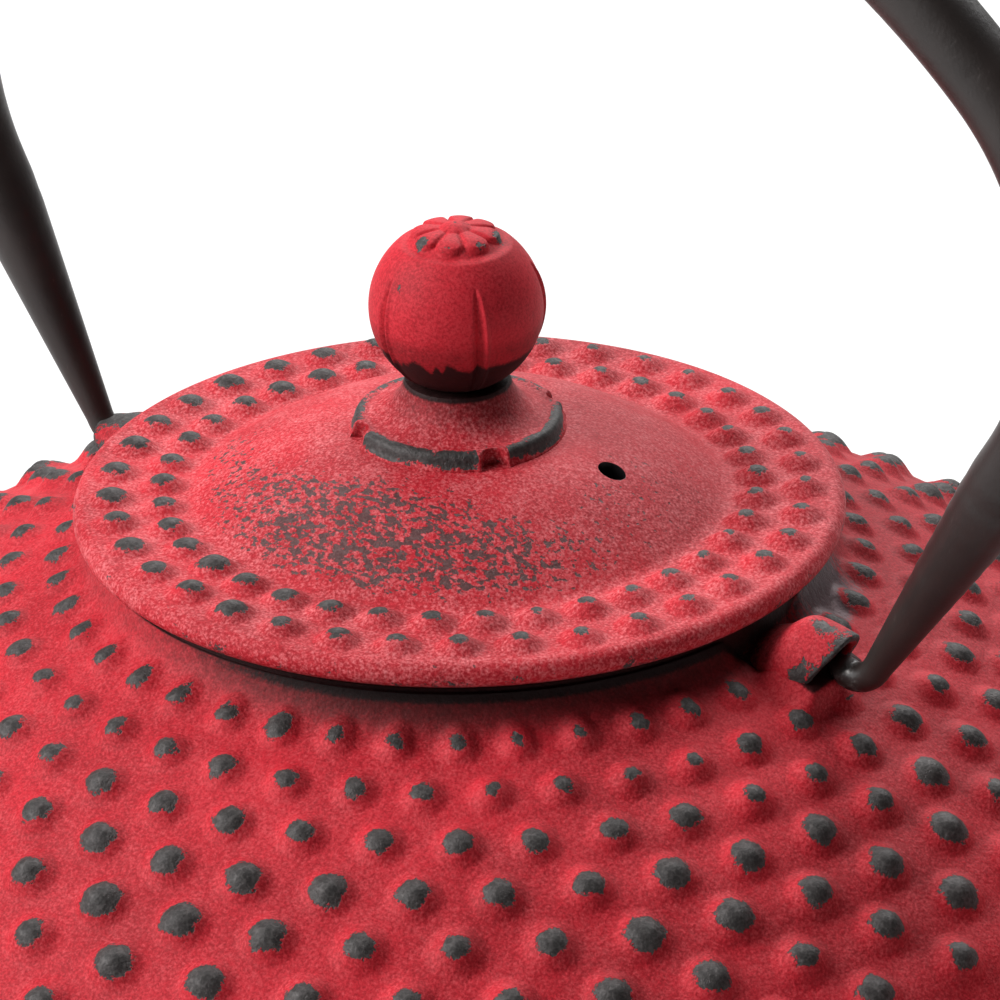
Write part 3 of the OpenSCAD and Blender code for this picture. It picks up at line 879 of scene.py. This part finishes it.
class TEAPOT_OT_lid(bpy.types.Operator):
    """Make the lid: dome, band with two rings of hobnails, rounded rim, skirt and steam vent"""
    bl_idname = "teapot.lid"
    bl_label = "Lid"

    def execute(self, context):
        s = context.scene.pot_lid
        columns = s.columns * 24
        angle = np.arange(columns) * TURN / columns - math.pi
        rim_round = 1.45 * MM
        flat_end = LID_R - rim_round
        dome_r = np.linspace(2.1 * MM, s.dome_radius - 1.2 * MM, 26)
        band_r = np.linspace(s.dome_radius - 1.2 * MM, flat_end, 42)[1:]
        top_r = np.concatenate([dome_r, band_r])
        edge_soft = 0.9 * MM
        soft = np.clip(1 - np.abs(top_r - s.dome_radius) / edge_soft, 0, 1)
        top_z = dome_height(top_r, s) + 0.12 * MM * soft ** 2
        rim = arc([flat_end, -s.band_drop - rim_round], rim_round, 90, -80, 12)[1:]
        under_z = -s.band_drop - 2 * rim_round
        under = rounded([[flat_end - 0.4 * MM, under_z], [39.9 * MM, under_z], [39.6 * MM, -4.6 * MM],
                         [32.2 * MM, -4.6 * MM], [32.2 * MM, -9.5 * MM], [29.8 * MM, -9.5 * MM],
                         [29.8 * MM, -4.1 * MM], [26.5 * MM, -3.2 * MM]],
                        [0.1 * MM, 0.1 * MM, 0.5 * MM, 0.5 * MM, 0.5 * MM, 1.2 * MM], 3)
        inner_r = np.linspace(25 * MM, 2.1 * MM, 9)
        inner = np.stack([inner_r, dome_height(inner_r + 1 * MM, s) - 3 * MM], axis=1)
        top = np.stack([top_r, top_z], axis=1)
        line = np.concatenate([top, rim, under, inner])
        way = np.concatenate([[0], np.cumsum(np.linalg.norm(np.diff(top, axis=0), axis=1))])
        draw = np.random.default_rng(5)
        rings = [self.ring(s, place, phase) for place, phase in ((32.55 * MM, 0.6), (38.0 * MM, 5.6))]
        for ring in rings:
            ring["way"] = float(np.interp(ring["radius"], top_r, way))
        tall, bare = hobnails(way, angle, rings, s.columns, draw, blunt=1.7)
        rows = len(line)
        lift = np.zeros((rows, columns))
        lift[:len(top)] = tall
        wave = 0.10 * MM * (np.sin(3 * angle + 0.8) + 0.6 * np.sin(7 * angle + 2.1))
        inwards, rimwards = (smooth(top_r, a * MM, b * MM)[:, None] for a, b in ((12, 26), (42, 38)))
        lift[:len(top)] += wave * inwards * rimwards
        points = turned(line[:, :1] + 0 * lift, LID_Z + line[:, 1:] + lift, angle)
        marks = self.marks(s, line, angle, bare, len(top), len(rim))
        inner_rows = np.arange(len(top) + len(rim) + 1, rows)
        piece = grid_piece("lid_casting", points, [finish("lid_paint"), finish("black_enamel")], ring=True,
                           inner_rows=inner_rows, marks=marks, crease=0)
        self.cut_vent(context, piece, s)
        piece.data.set_sharp_from_angle(angle=math.radians(50))
        fit(piece, "lid", "painted_iron", "lid")
        return {"FINISHED"}

    def ring(self, s, place, phase):
        return {"radius": place, "way": 0.0, "phase": math.radians(phase), "base": s.hobnail_radius,
                "height": s.hobnail_height,
                "worn": lambda a: 0.30 + 0.26 * smooth(np.cos(a - math.radians(215)), -0.3, 0.8)}

    def marks(self, s, line, angle, bare, top_rows, rim_rows):
        """Worn hobnails, chips on the rim and the crescent of flecks on the dome's front."""
        rows, columns = len(line), len(angle)
        full = np.full((rows, columns), -3.0)
        full[:top_rows] = bare
        rim = slice(top_rows + 2, top_rows + rim_rows)
        chip = 0.5 + 0.5 * np.sin(17 * angle) * np.sin(5 * angle + 1) + 0.35 * np.sin(41 * angle + 2)
        row = np.linspace(0, 1, rim_rows - 2)[:, None]
        full[rim] = -0.72 + 0.34 * chip + 0.25 * np.exp(-((row - 0.55) / 0.25) ** 2)
        radius = line[:top_rows, :1] / MM
        degrees = np.degrees(angle)
        span = smooth(degrees, -179, -160) * smooth(degrees, 0, -42)
        start = 21.5 - 8 * bump_at(angle, -80, 80)
        cover = 0.70 + 0.30 * smooth(degrees, -138, -98)
        crescent = span * cover * smooth(radius, start - 2.5, start + 4) * smooth(radius, 29.6, 26.5)
        faint = 0.50 * bump_at(angle, 6, 44) * smooth(radius, 15, 20) * smooth(radius, 29, 25.5)
        fleck = np.zeros((rows, columns))
        fleck[:top_rows] = np.clip(crescent + faint, 0, 1.05)
        fleck[top_rows:top_rows + rim_rows] = 0.10
        primer_and_shade = np.zeros((rows, columns))
        primer_and_shade[top_rows + rim_rows - 2:top_rows + rim_rows + 2] = 0.7
        # Painted shade: the rim's lower half darkens, less on the side between -180° and -112°.
        painted_shade = np.zeros((rows, columns))
        shade = 0.35 + 0.45 * smooth(degrees, -112, -64)
        painted_shade[top_rows:top_rows + rim_rows] = smooth(np.linspace(0, 1, rim_rows), 0.50, 1.0)[:, None] * shade
        return {"bare": full, "fleck": fleck, "primer_and_shade": primer_and_shade, "painted_shade": painted_shade}

    def cut_vent(self, context, piece, s):
        """Bores the steam vent through the dome with an upright cutter."""
        columns = 48
        angle = np.arange(columns) * TURN / columns
        place = np.array([math.cos(s.vent_angle), math.sin(s.vent_angle)]) * s.vent_place
        heights = LID_Z + np.array([-9, 12]) * MM
        ring = np.stack([place[0] + s.vent_radius * np.cos(angle),
                         place[1] + s.vent_radius * np.sin(angle)], axis=1)
        points = np.stack([np.column_stack([ring, np.full(columns, h)]) for h in heights])
        cutter = grid_piece("vent_cutter", points, [finish("black_enamel")], poles=True, crease=0)
        cut = piece.modifiers.new("vent", "BOOLEAN")
        cut.operation = "DIFFERENCE"
        cut.solver = "MANIFOLD"
        cut.object = cutter
        cut.material_mode = "TRANSFER"
        context.view_layer.objects.active = piece
        bpy.ops.object.modifier_apply(modifier=cut.name)
        bpy.data.objects.remove(cutter)


class TEAPOT_OT_knob(bpy.types.Operator):
    """Make the knob: notched collar and neck, fluted ball with its rosette, rivet and washer"""
    bl_idname = "teapot.knob"
    bl_label = "Knob"

    def execute(self, context):
        s = context.scene.pot_knob
        self.collar(s)
        self.ball(s)
        for node in ("knob_stud", "knob_washer"):
            for holder in frame["nodes"][node].material_slots:
                holder.material = finish("brushed_steel")
        return {"FINISHED"}

    def collar(self, s):
        """Collar and neck: a turned outline whose edge is cut by four upright round notches."""
        columns = 640
        angle = np.arange(columns) * TURN / columns
        top = 12.2 * MM
        hole = 2.1 * MM
        base_z = CROWN - 0.15 * MM
        fillet = arc([s.collar_radius - 0.6 * MM, top + 1 * MM], s.collar_radius - s.neck_radius - 0.6 * MM,
                     -100, -165, 22)
        edge = rounded([[hole, base_z], [s.collar_radius + 0.5 * MM, base_z],
                        [s.collar_radius + 0.1 * MM, 7.0 * MM],
                        [s.collar_radius - 0.2 * MM, 8.3 * MM], fillet[0]],
                       [0.05 * MM, 0.5 * MM, 0.75 * MM], 7)
        line = np.concatenate([[[hole, top - 0.2 * MM]], even(edge, 0.22 * MM), fillet[1:],
                               [[s.neck_radius + 0.15 * MM, top - 0.25 * MM], [s.neck_radius, top],
                                [s.neck_radius - 0.8 * MM, top + 0.05 * MM], [hole + 0.5 * MM, top]]])
        radius, height = line[:, :1], line[:, 1:]
        notch_r, notch_at = 1.55 * MM, 11.9 * MM
        quarter = math.pi / 2
        turn = math.radians(-33)
        off = (angle - turn + quarter / 2) % quarter - quarter / 2
        half_chord = notch_r ** 2 - (notch_at * np.sin(off)) ** 2
        cut = np.where(half_chord > 0, notch_at * np.cos(off) - np.sqrt(np.clip(half_chord, 0, None)), 1.0)
        soft = 0.22 * MM
        low = np.minimum(radius, cut)
        blend = np.clip(1 - np.abs(radius - cut) / (2 * soft), 0, 1)
        carved = low - soft * 0.5 * blend ** 2
        around = np.abs(off) * notch_at
        lip = 0.22 * MM * np.exp(-((around - notch_r * 1.12) / (0.42 * MM)) ** 2)
        lip = lip * smooth(radius, 10.0 * MM, 11.2 * MM)
        outer = smooth(radius, 9.0 * MM, 10.2 * MM) * (height > CROWN - 0.1 * MM)
        r = np.where(outer > 0, carved + lip * outer, radius + 0 * carved)
        points = turned(r, LID_Z + height + 0 * r, angle)
        band = 0.62 - np.abs(height / MM - 7.75) * 0.62
        side = smooth(radius, s.collar_radius - 1.3 * MM, s.collar_radius - 0.6 * MM)
        in_notch = smooth(around, notch_r * 1.22, notch_r * 0.98)
        fade = 0.30 * np.sin(2.3 * angle + 0.6) * np.sin(5 * angle + 1)
        bare = band * side + np.where(side > 0, fade * side, -3 * (1 - side)) - in_notch * 2.5
        bare = np.where(height > CROWN, bare, -3)
        primer_and_shade = smooth(height, 11.3 * MM, 12.1 * MM) + in_notch * smooth(height, 8.4 * MM, 6.6 * MM) * 0.40
        worn_band = smooth(bare, -0.4, 0.3)
        # Painted shade: the collar darkens towards the neck, in the shade under the ball, and in its notches.
        marks = {"bare": bare, "primer_and_shade": primer_and_shade + 0.34 * worn_band,
                 "painted_shade": 0.25 * in_notch * outer + 0.55 * smooth(radius, 9.4 * MM, 5.8 * MM),
                 "fleck": 0.22 * outer + 0.10 + 0 * bare}
        piece = grid_piece("knob_collar", points, [finish("lid_paint")], ring=True, marks=marks, crease=55)
        fit(piece, "lid", "painted_iron", "knob_seat")

    def ball(self, s):
        """Ball: a sphere with spindle-shaped grooves down its sides, and on top petals round a button.
        Relief is added along the radius, from the angle off the top and the direction."""
        columns, rows = 640, 230
        angle = np.arange(columns) * TURN / columns - math.pi
        lowest = math.acos(-8.6 / 9.5)
        tilt = np.linspace(0.004, lowest, rows)[:, None]
        off_axis = s.ball_radius * np.sin(tilt) / MM
        upper = tilt < math.pi / 2
        # grooves
        part = TURN / s.flutes
        off = (angle - math.radians(-37.4) + part / 2) % part - part / 2
        middle, reach = math.radians(103), math.radians(46)
        spindle = np.clip(1 - ((tilt - middle) / reach) ** 2, 0, 1)
        width = 0.78 * spindle ** 0.45 + 0.02
        around = off * s.ball_radius * np.sin(tilt) / MM
        q = around / width
        groove = -0.62 * spindle ** 0.7 * np.clip(1 - np.abs(q), 0, 1) ** 1.2
        ridge = 0.24 * spindle ** 0.6 * np.exp(-((around - width * 1.05) / 0.30) ** 2)
        # rosette
        petal = TURN / s.petals
        turn = math.radians(-62)
        lobe = np.abs(((angle - turn + petal / 2) % petal - petal / 2) / (petal / 2))
        reach_r = 5.35 - 1.0 * lobe ** 2.6
        flower = smooth(off_axis, reach_r, reach_r - 0.75) * upper
        valley = np.exp(-((1 - lobe) * off_axis * petal / 2 / 0.26) ** 2)
        rise = 0.20 + 0.38 * smooth(off_axis, 1.6, 4.2)
        seat = -0.42 * smooth(off_axis, 6.3, 5.3) * upper
        button = 0.55 * np.clip(1 - (off_axis / 1.75) ** 2, 0, 1) ** 0.8 * upper
        petals = flower * rise * (1 - 0.72 * valley) * (1 - 0.25 * lobe ** 2) * smooth(off_axis, 1.2, 2.1)
        relief = (groove + ridge + seat + petals + button) * MM
        r = s.ball_radius + relief
        centre_z = LID_Z + s.ball_height
        points = turned(r * np.sin(tilt), centre_z + r * np.cos(tilt), angle)
        tips = 0.40 - np.hypot((off_axis - 4.5) / 0.9, lobe / 0.62)
        tips = np.where(upper, tips + 0.35 * np.sin(3 * angle + 0.7), -3)
        cap = np.where(upper, 0.35 - off_axis, -3)
        spot = 0.35 - np.hypot((tilt - math.radians(62)) * 9.5, (angle - math.radians(-99)) * 8.2)
        bare = np.maximum(np.maximum(tips, cap), spot)
        strand = np.sin(angle * 37 + 5 * np.sin(angle * 3) + 2 * np.sin(angle * 11))
        brush = (strand * (0.6 + 0.4 * np.sin(angle * 5 + 1)) + 0.5 * np.sin(angle * 13 + 2)) * 0.045
        low = smooth(tilt + brush * smooth(np.cos(angle - math.radians(-95)), 0.2, 1) * 1.4,
                     math.radians(108), math.radians(120))
        # Painted shade: the ball darkens on its lower side, just below its middle.
        marks = {"bare": bare, "primer_and_shade": low * 1.1,
                 "painted_shade": 0.45 * smooth(tilt, math.radians(88), math.radians(104)) + 0 * bare}
        piece = grid_piece("knob_ball_carved", points, [finish("ball_paint")], poles=True, marks=marks,
                           crease=0)
        fit(piece, "lid", "painted_iron", "knob_ball")


# ---------------------------------------------------------------- strainer

HOLE_SHARE = 0.27  # radius of a hole over its tile's side


def perforated(place, across, down, hole, thickness):
    """A thin sheet of square tiles, each with an eight-sided hole, closed round its edges and holes.
    place maps sheet coordinates 0 to 1 (across, down) and a depth to points; across wraps if it is closed."""
    corner = np.array([[-1, -1], [0, -1], [1, -1], [1, 0], [1, 1], [0, 1], [-1, 1], [-1, 0]]) * 0.5
    eight = np.arange(8) * TURN / 8 - math.radians(135)
    ring = np.stack([np.cos(eight), np.sin(eight)], axis=1) * hole
    u, v = np.meshgrid(np.arange(across), np.arange(down), indexing="ij")
    centres = np.stack([u.ravel() + 0.5, v.ravel() + 0.5], axis=1)
    flat = np.concatenate([centres[:, None] + corner, centres[:, None] + ring], axis=1)
    flat = flat / np.array([across, down])
    tiles = len(centres)
    layers = [place(flat[..., 0], flat[..., 1], depth).reshape(-1, 3) for depth in (0.0, thickness)]
    verts = np.concatenate(layers)
    k = np.arange(8)
    k1 = (k + 1) % 8
    face = np.stack([k, k1, 8 + k1, 8 + k], axis=1)
    base = (np.arange(tiles) * 16)[:, None, None]
    front = (base + face).reshape(-1, 4)
    back = (base + face[:, ::-1]).reshape(-1, 4) + tiles * 16
    hole_front = base + np.stack([8 + k, 8 + k1], axis=1)
    walls = np.concatenate([hole_front, hole_front[..., ::-1] + tiles * 16], axis=-1).reshape(-1, 4)
    return verts, np.concatenate([front, back, walls])


class TEAPOT_OT_strainer(bpy.types.Operator):
    """Make the tea strainer: flange, perforated wall and perforated floor"""
    bl_idname = "teapot.strainer"
    bl_label = "Strainer"

    def execute(self, context):
        wall_r = 33.45 * MM
        sheet = 0.5 * MM
        top, bottom = LEDGE_Z - 0.2 * MM, LEDGE_Z - 43 * MM
        steel = finish("brushed_steel")
        collar_r = wall_r + 0.05 * MM
        flange_r = LEDGE_R - 0.4 * MM
        foot = LEDGE_Z - 5 * MM
        line = rounded([[collar_r, foot], [collar_r, LEDGE_Z + sheet], [flange_r, LEDGE_Z + sheet],
                        [flange_r, LEDGE_Z], [collar_r + sheet, LEDGE_Z], [collar_r + sheet, foot]],
                       [0.45 * MM, 0.2 * MM, 0.2 * MM, 0.3 * MM], 5)
        rim = lathe("strainer_rim", line, 240, [steel], crease=35)
        fit(rim, "basket", "strainer_steel", "basket_rim")

        solid = 3.2 * MM

        def wall(u, v, depth):
            a = u * TURN
            r = wall_r - depth
            z = bottom + solid + v * (top - bottom - 2 * solid)
            return np.stack(np.broadcast_arrays(r * np.cos(a), r * np.sin(a), z), axis=-1)

        verts, quads = perforated(wall, 96, 17, HOLE_SHARE, sheet)
        pieces = [(verts, quads)]
        for low, high in ((bottom, bottom + solid), (top - solid, top)):
            pieces.append(self.band(wall_r, sheet, low, high))
        self.join("strainer_wall", pieces, steel, "basket_wall")

        pan_r = wall_r - sheet - 0.05 * MM
        holes_r = pan_r - 3.4 * MM

        def floor(u, v, depth):
            x, y = 2 * u - 1, 2 * v - 1
            return np.stack(np.broadcast_arrays(holes_r * x * np.sqrt(1 - y * y / 2),
                                                holes_r * y * np.sqrt(1 - x * x / 2),
                                                bottom + sheet - depth), axis=-1)

        verts, quads = perforated(floor, 26, 26, HOLE_SHARE, sheet)
        pieces = [(verts, quads), self.pan(pan_r, holes_r, sheet, bottom, floor)]
        self.join("strainer_floor", pieces, steel, "basket_floor")
        return {"FINISHED"}

    def band(self, radius, sheet, low, high):
        """A plain band of the wall's sheet, with the same 192 columns as the holes' edges."""
        columns = 192
        a = np.arange(columns) * TURN / columns
        line = np.array([[radius, high], [radius, low], [radius - sheet, low], [radius - sheet, high]])
        points = turned(line[:, :1], line[:, 1:], a).reshape(-1, 3)
        return points, grid_quads(len(line), columns, ring=True)

    def pan(self, pan_r, holes_r, sheet, bottom, floor):
        """The floor's plain edge and its upturned rim, turned round the axis."""
        side = 52
        t = np.arange(side) / side
        edge = np.concatenate([floor(t, 0 * t, 0)[:, :2], floor(0 * t + 1, t, 0)[:, :2],
                               floor(1 - t, 0 * t + 1, 0)[:, :2], floor(0 * t, 1 - t, 0)[:, :2]])
        way = edge / np.linalg.norm(edge, axis=1, keepdims=True)
        line = rounded([[holes_r, bottom + sheet], [pan_r - sheet, bottom + sheet],
                        [pan_r - sheet, bottom + 3 * MM],
                        [pan_r, bottom + 3 * MM], [pan_r, bottom], [holes_r, bottom]],
                       [0.5 * MM, 0.1 * MM, 0.1 * MM, 0.8 * MM], 4)
        points = np.stack([np.column_stack([way * r, np.full(len(way), z)]) for r, z in line])
        points[0, :, :2] = edge
        points[-1, :, :2] = edge
        return points.reshape(-1, 3), grid_quads(*points.shape[:2], ring=True)

    def join(self, name, parts, steel, node):
        """One piece from several closed meshes, each turned outwards."""
        verts, quads, start = [], [], 0
        for points, faces in parts:
            tri = np.concatenate([faces[:, :3], faces[:, [0, 2, 3]]])
            a, b, c = (points[tri[:, k]] for k in range(3))
            if np.einsum("ij,ij->i", a - points.mean(axis=0), np.cross(b, c)).sum() < 0:
                faces = faces[:, ::-1]
            verts.append(points)
            quads.append(faces + start)
            start += len(points)
        piece = mesh_piece(name, np.concatenate(verts), np.concatenate(quads), np.zeros((0, 3), int), [steel],
                           crease=35)
        fit(piece, "basket", "strainer_steel", node)


# ---------------------------------------------------------------- handle

class TEAPOT_OT_handle(bpy.types.Operator):
    """Make the bail: a tube bowed over the lid, drawn out to a hook at each end"""
    bl_idname = "teapot.handle"
    bl_label = "Handle"

    def execute(self, context):
        s = context.scene.pot_handle
        line, radius = self.centre_line(s)
        columns = 72
        angle = np.arange(columns) * TURN / columns
        way = np.gradient(line, axis=0)
        way /= np.linalg.norm(way, axis=1, keepdims=True)
        side = np.stack([way[:, 1], -way[:, 0]], axis=1)
        height = line[:, 1:] / MM
        over = line[:, :1] / MM
        # crimps left where the tube was drawn down, stronger inside the bend, and a slight step
        crimp = smooth(height, 9, 14) * smooth(height, 27, 20)
        fold = np.sin(height * 2.6 + 2.2 * np.sin(2 * angle + 0.6))
        fold = fold * np.clip(np.sin(2 * angle + 0.9), 0, 1) ** 2
        step = -0.10 * np.exp(-((height - 25.6) / 0.9) ** 2)
        r = radius[:, None] + (0.035 * crimp * fold + step) * MM * smooth(radius, 1.8 * MM, 2.4 * MM)[:, None]
        x = line[:, :1] + side[:, :1] * r * np.cos(angle)
        h = line[:, 1:] + side[:, 1:] * r * np.cos(angle)
        y = r * np.sin(angle)
        points = np.stack([s.play + x, y * math.cos(s.lean) + h * math.sin(s.lean),
                           PIVOT_Z + h * math.cos(s.lean) - y * math.sin(s.lean)], axis=-1)
        hook = smooth(height, 2.2, -0.6) * smooth(np.abs(over), 54.5, 51.5) + 0 * angle
        piece = grid_piece("bail_tube", points, [finish("satin_enamel")], poles=True,
                           marks={"bare": 0.5 * hook}, crease=60)
        fit(piece, "handle", "handle_steel", "handle")
        return {"FINISHED"}

    def centre_line(self, s):
        """The tube's centre line as [outwards, up] from the swing axis, and its radius:
        tip, two hook bends, a sloping arm, a bend and half of the bow, then the same mirrored."""
        slope = math.radians(29.9)
        bend_r, bow_r, hook_bend, tip_bend = 32 * MM, 93 * MM, 3 * MM, 1.8 * MM
        arm = np.array([53.33 * MM, hook_bend * (1 - math.sin(slope))])
        hook_c = np.array([arm[0] - hook_bend * math.cos(slope), hook_bend])
        normal = np.array([math.cos(slope), -math.sin(slope)])
        widest = 73.6 * MM
        bend_u = widest - bend_r
        shift = (bend_u + bend_r * normal[0] - arm[0]) / math.sin(slope)
        bend_c = np.array([bend_u, arm[1] + shift * math.cos(slope) - bend_r * normal[1]])
        bow_a = math.degrees(math.acos(bend_u / (bow_r - bend_r)))
        bow_c = np.array([0, bend_c[1] - (bow_r - bend_r) * math.sin(math.radians(bow_a))])
        half = np.concatenate([
            [[hook_c[0] - tip_bend, 1.9 * MM]],
            arc([hook_c[0], tip_bend], tip_bend, -180, -90, 10),
            arc(hook_c, hook_bend, -84, -29.9, 10),
            arc(bend_c, bend_r, -29.9, bow_a, 30),
            arc(bow_c, bow_r, bow_a, 90, 30)[1:],
        ])
        half = even(half, 0.55 * MM)
        way = np.concatenate([[0], np.cumsum(np.linalg.norm(np.diff(half, axis=0), axis=1))])
        taper_from = way[np.argmax(half[:, 0] > arm[0])]
        taper_to = way[np.argmax((half[:, 1] > 25.6 * MM))]
        radius = np.interp(way, [taper_from, taper_to], [s.hook_radius, s.tube_radius])
        nose = np.clip(way / s.hook_radius, 0.03, 1)
        radius = radius * np.sqrt(1 - (1 - nose) ** 2)
        mirrored = half[-2::-1] * [-1, 1]
        return np.concatenate([half, mirrored]), np.concatenate([radius, radius[-2::-1]])


# ---------------------------------------------------------------- stage

# direction (azimuth, elevation in degrees), distance, size in metres and power in watts
KEY_LAMP = ((-135, 34), 1.1, 0.7, 21)
BACK_LAMP = ((112, 42), 1.3, 1.2, 25)


def towards(azimuth, elevation):
    """The direction of length 1 at an azimuth and elevation in radians."""
    level = math.cos(elevation)
    return Vector((math.cos(azimuth) * level, math.sin(azimuth) * level, math.sin(elevation)))


class TEAPOT_OT_stage(bpy.types.Operator):
    """Make the floor, the soft lights and the camera"""
    bl_idname = "teapot.stage"
    bl_label = "Stage"

    def execute(self, context):
        s = context.scene.pot_stage
        scene = context.scene
        scene.view_settings.view_transform = "Standard"
        f = Finish("pale_floor")
        shade = f.mix(f.noise(60 * MM, 3) * 0.5, tuple(s.floor), tuple(0.97 * v for v in s.floor))
        floor = self.floor(f.done(Base_Color=shade, Roughness=1.0, Specular_IOR_Level=0.0,
                                  Emission_Color=f.mix(f.mark("glow"), (0.0, 0.0, 0.0), (1.0, 1.0, 1.0)),
                                  Emission_Strength=s.floor_glow))
        world = bpy.data.worlds.new("studio")
        world.use_nodes = True
        sky = world.node_tree.nodes["Background"]
        sky.inputs["Color"].default_value = (1.0, 1.0, 1.0, 1.0)
        sky.inputs["Strength"].default_value = s.fill
        scene.world = world
        self.camera(scene, s)
        aim = Vector((0, 0, LID_Z))
        self.lamp("key", aim, *KEY_LAMP)
        self.lamp("back", aim, *BACK_LAMP)
        return {"FINISHED"}

    def floor(self, finish_made):
        """A flat round floor, turned about the pot's axis, whose glow grows away from the pot."""
        columns = 96
        radius = np.concatenate([[0.01], np.linspace(0.05, 0.5, 46), np.linspace(0.6, 3.0, 13)])
        angle = np.arange(columns) * TURN / columns
        points = turned(radius[:, None], -0.0002 + 0 * radius[:, None], angle)
        glow = smooth(radius, 0.09, 0.21)[:, None] + 0 * angle
        return grid_piece("floor", points, [finish_made], poles=True, marks={"glow": glow}, crease=0)

    def lamp(self, name, aim, direction, distance, size, power):
        """A square soft light at a direction (azimuth, elevation in degrees) and distance from its aim."""
        data = bpy.data.lights.new(name, "AREA")
        data.shape = "SQUARE"
        data.size = size
        data.energy = power
        lamp = bpy.data.objects.new(name, data)
        back = towards(*(math.radians(v) for v in direction))
        lamp.location = aim + back * distance
        lamp.rotation_euler = (-back).to_track_quat("-Z", "Y").to_euler()
        bpy.context.scene.collection.objects.link(lamp)

    def camera(self, scene, s):
        """The camera looks at a point by the lid's middle from its direction, with a slight roll."""
        aim = Vector((4.3 * MM, 1.7 * MM, LID_Z - 2.1 * MM))
        back = towards(s.azimuth, s.elevation)
        data = bpy.data.cameras.new("camera")
        data.lens = s.lens
        data.sensor_width = 36
        camera = bpy.data.objects.new("camera", data)
        turn = (-back).to_track_quat("-Z", "Y").to_matrix().to_4x4() @ Matrix.Rotation(s.roll, 4, "Z")
        camera.matrix_world = Matrix.Translation(aim + back * s.distance) @ turn
        data.clip_start = 0.01
        scene.collection.objects.link(camera)
        scene.camera = camera


class TEAPOT_PT_panel(bpy.types.Panel):
    """Lists the teapot's pieces"""
    bl_label = "Teapot"
    bl_idname = "TEAPOT_PT_panel"
    bl_space_type = "VIEW_3D"
    bl_region_type = "UI"
    bl_category = "Teapot"

    def draw(self, context):
        for maker in MAKERS:
            self.layout.operator(maker.bl_idname)
        for key, group in GROUPS.items():
            box = self.layout.box()
            box.label(text=group.__doc__)
            for field in group.__annotations__:
                box.prop(getattr(context.scene, key), field)


MAKERS = (TEAPOT_OT_body, TEAPOT_OT_lugs, TEAPOT_OT_spout, TEAPOT_OT_lid, TEAPOT_OT_knob, TEAPOT_OT_strainer,
          TEAPOT_OT_handle, TEAPOT_OT_stage)
CLASSES = (*GROUPS.values(), *MAKERS, TEAPOT_PT_panel)


def register():
    for made in CLASSES:
        bpy.utils.register_class(made)
    for key, group in GROUPS.items():
        setattr(bpy.types.Scene, key, PointerProperty(type=group))


def unregister():
    for key in GROUPS:
        delattr(bpy.types.Scene, key)
    for made in reversed(CLASSES):
        bpy.utils.unregister_class(made)


def main():
    register()
    for maker in MAKERS:
        group, name = maker.bl_idname.split(".")
        getattr(getattr(bpy.ops, group), name)()


if __name__ == "__main__":
    main()
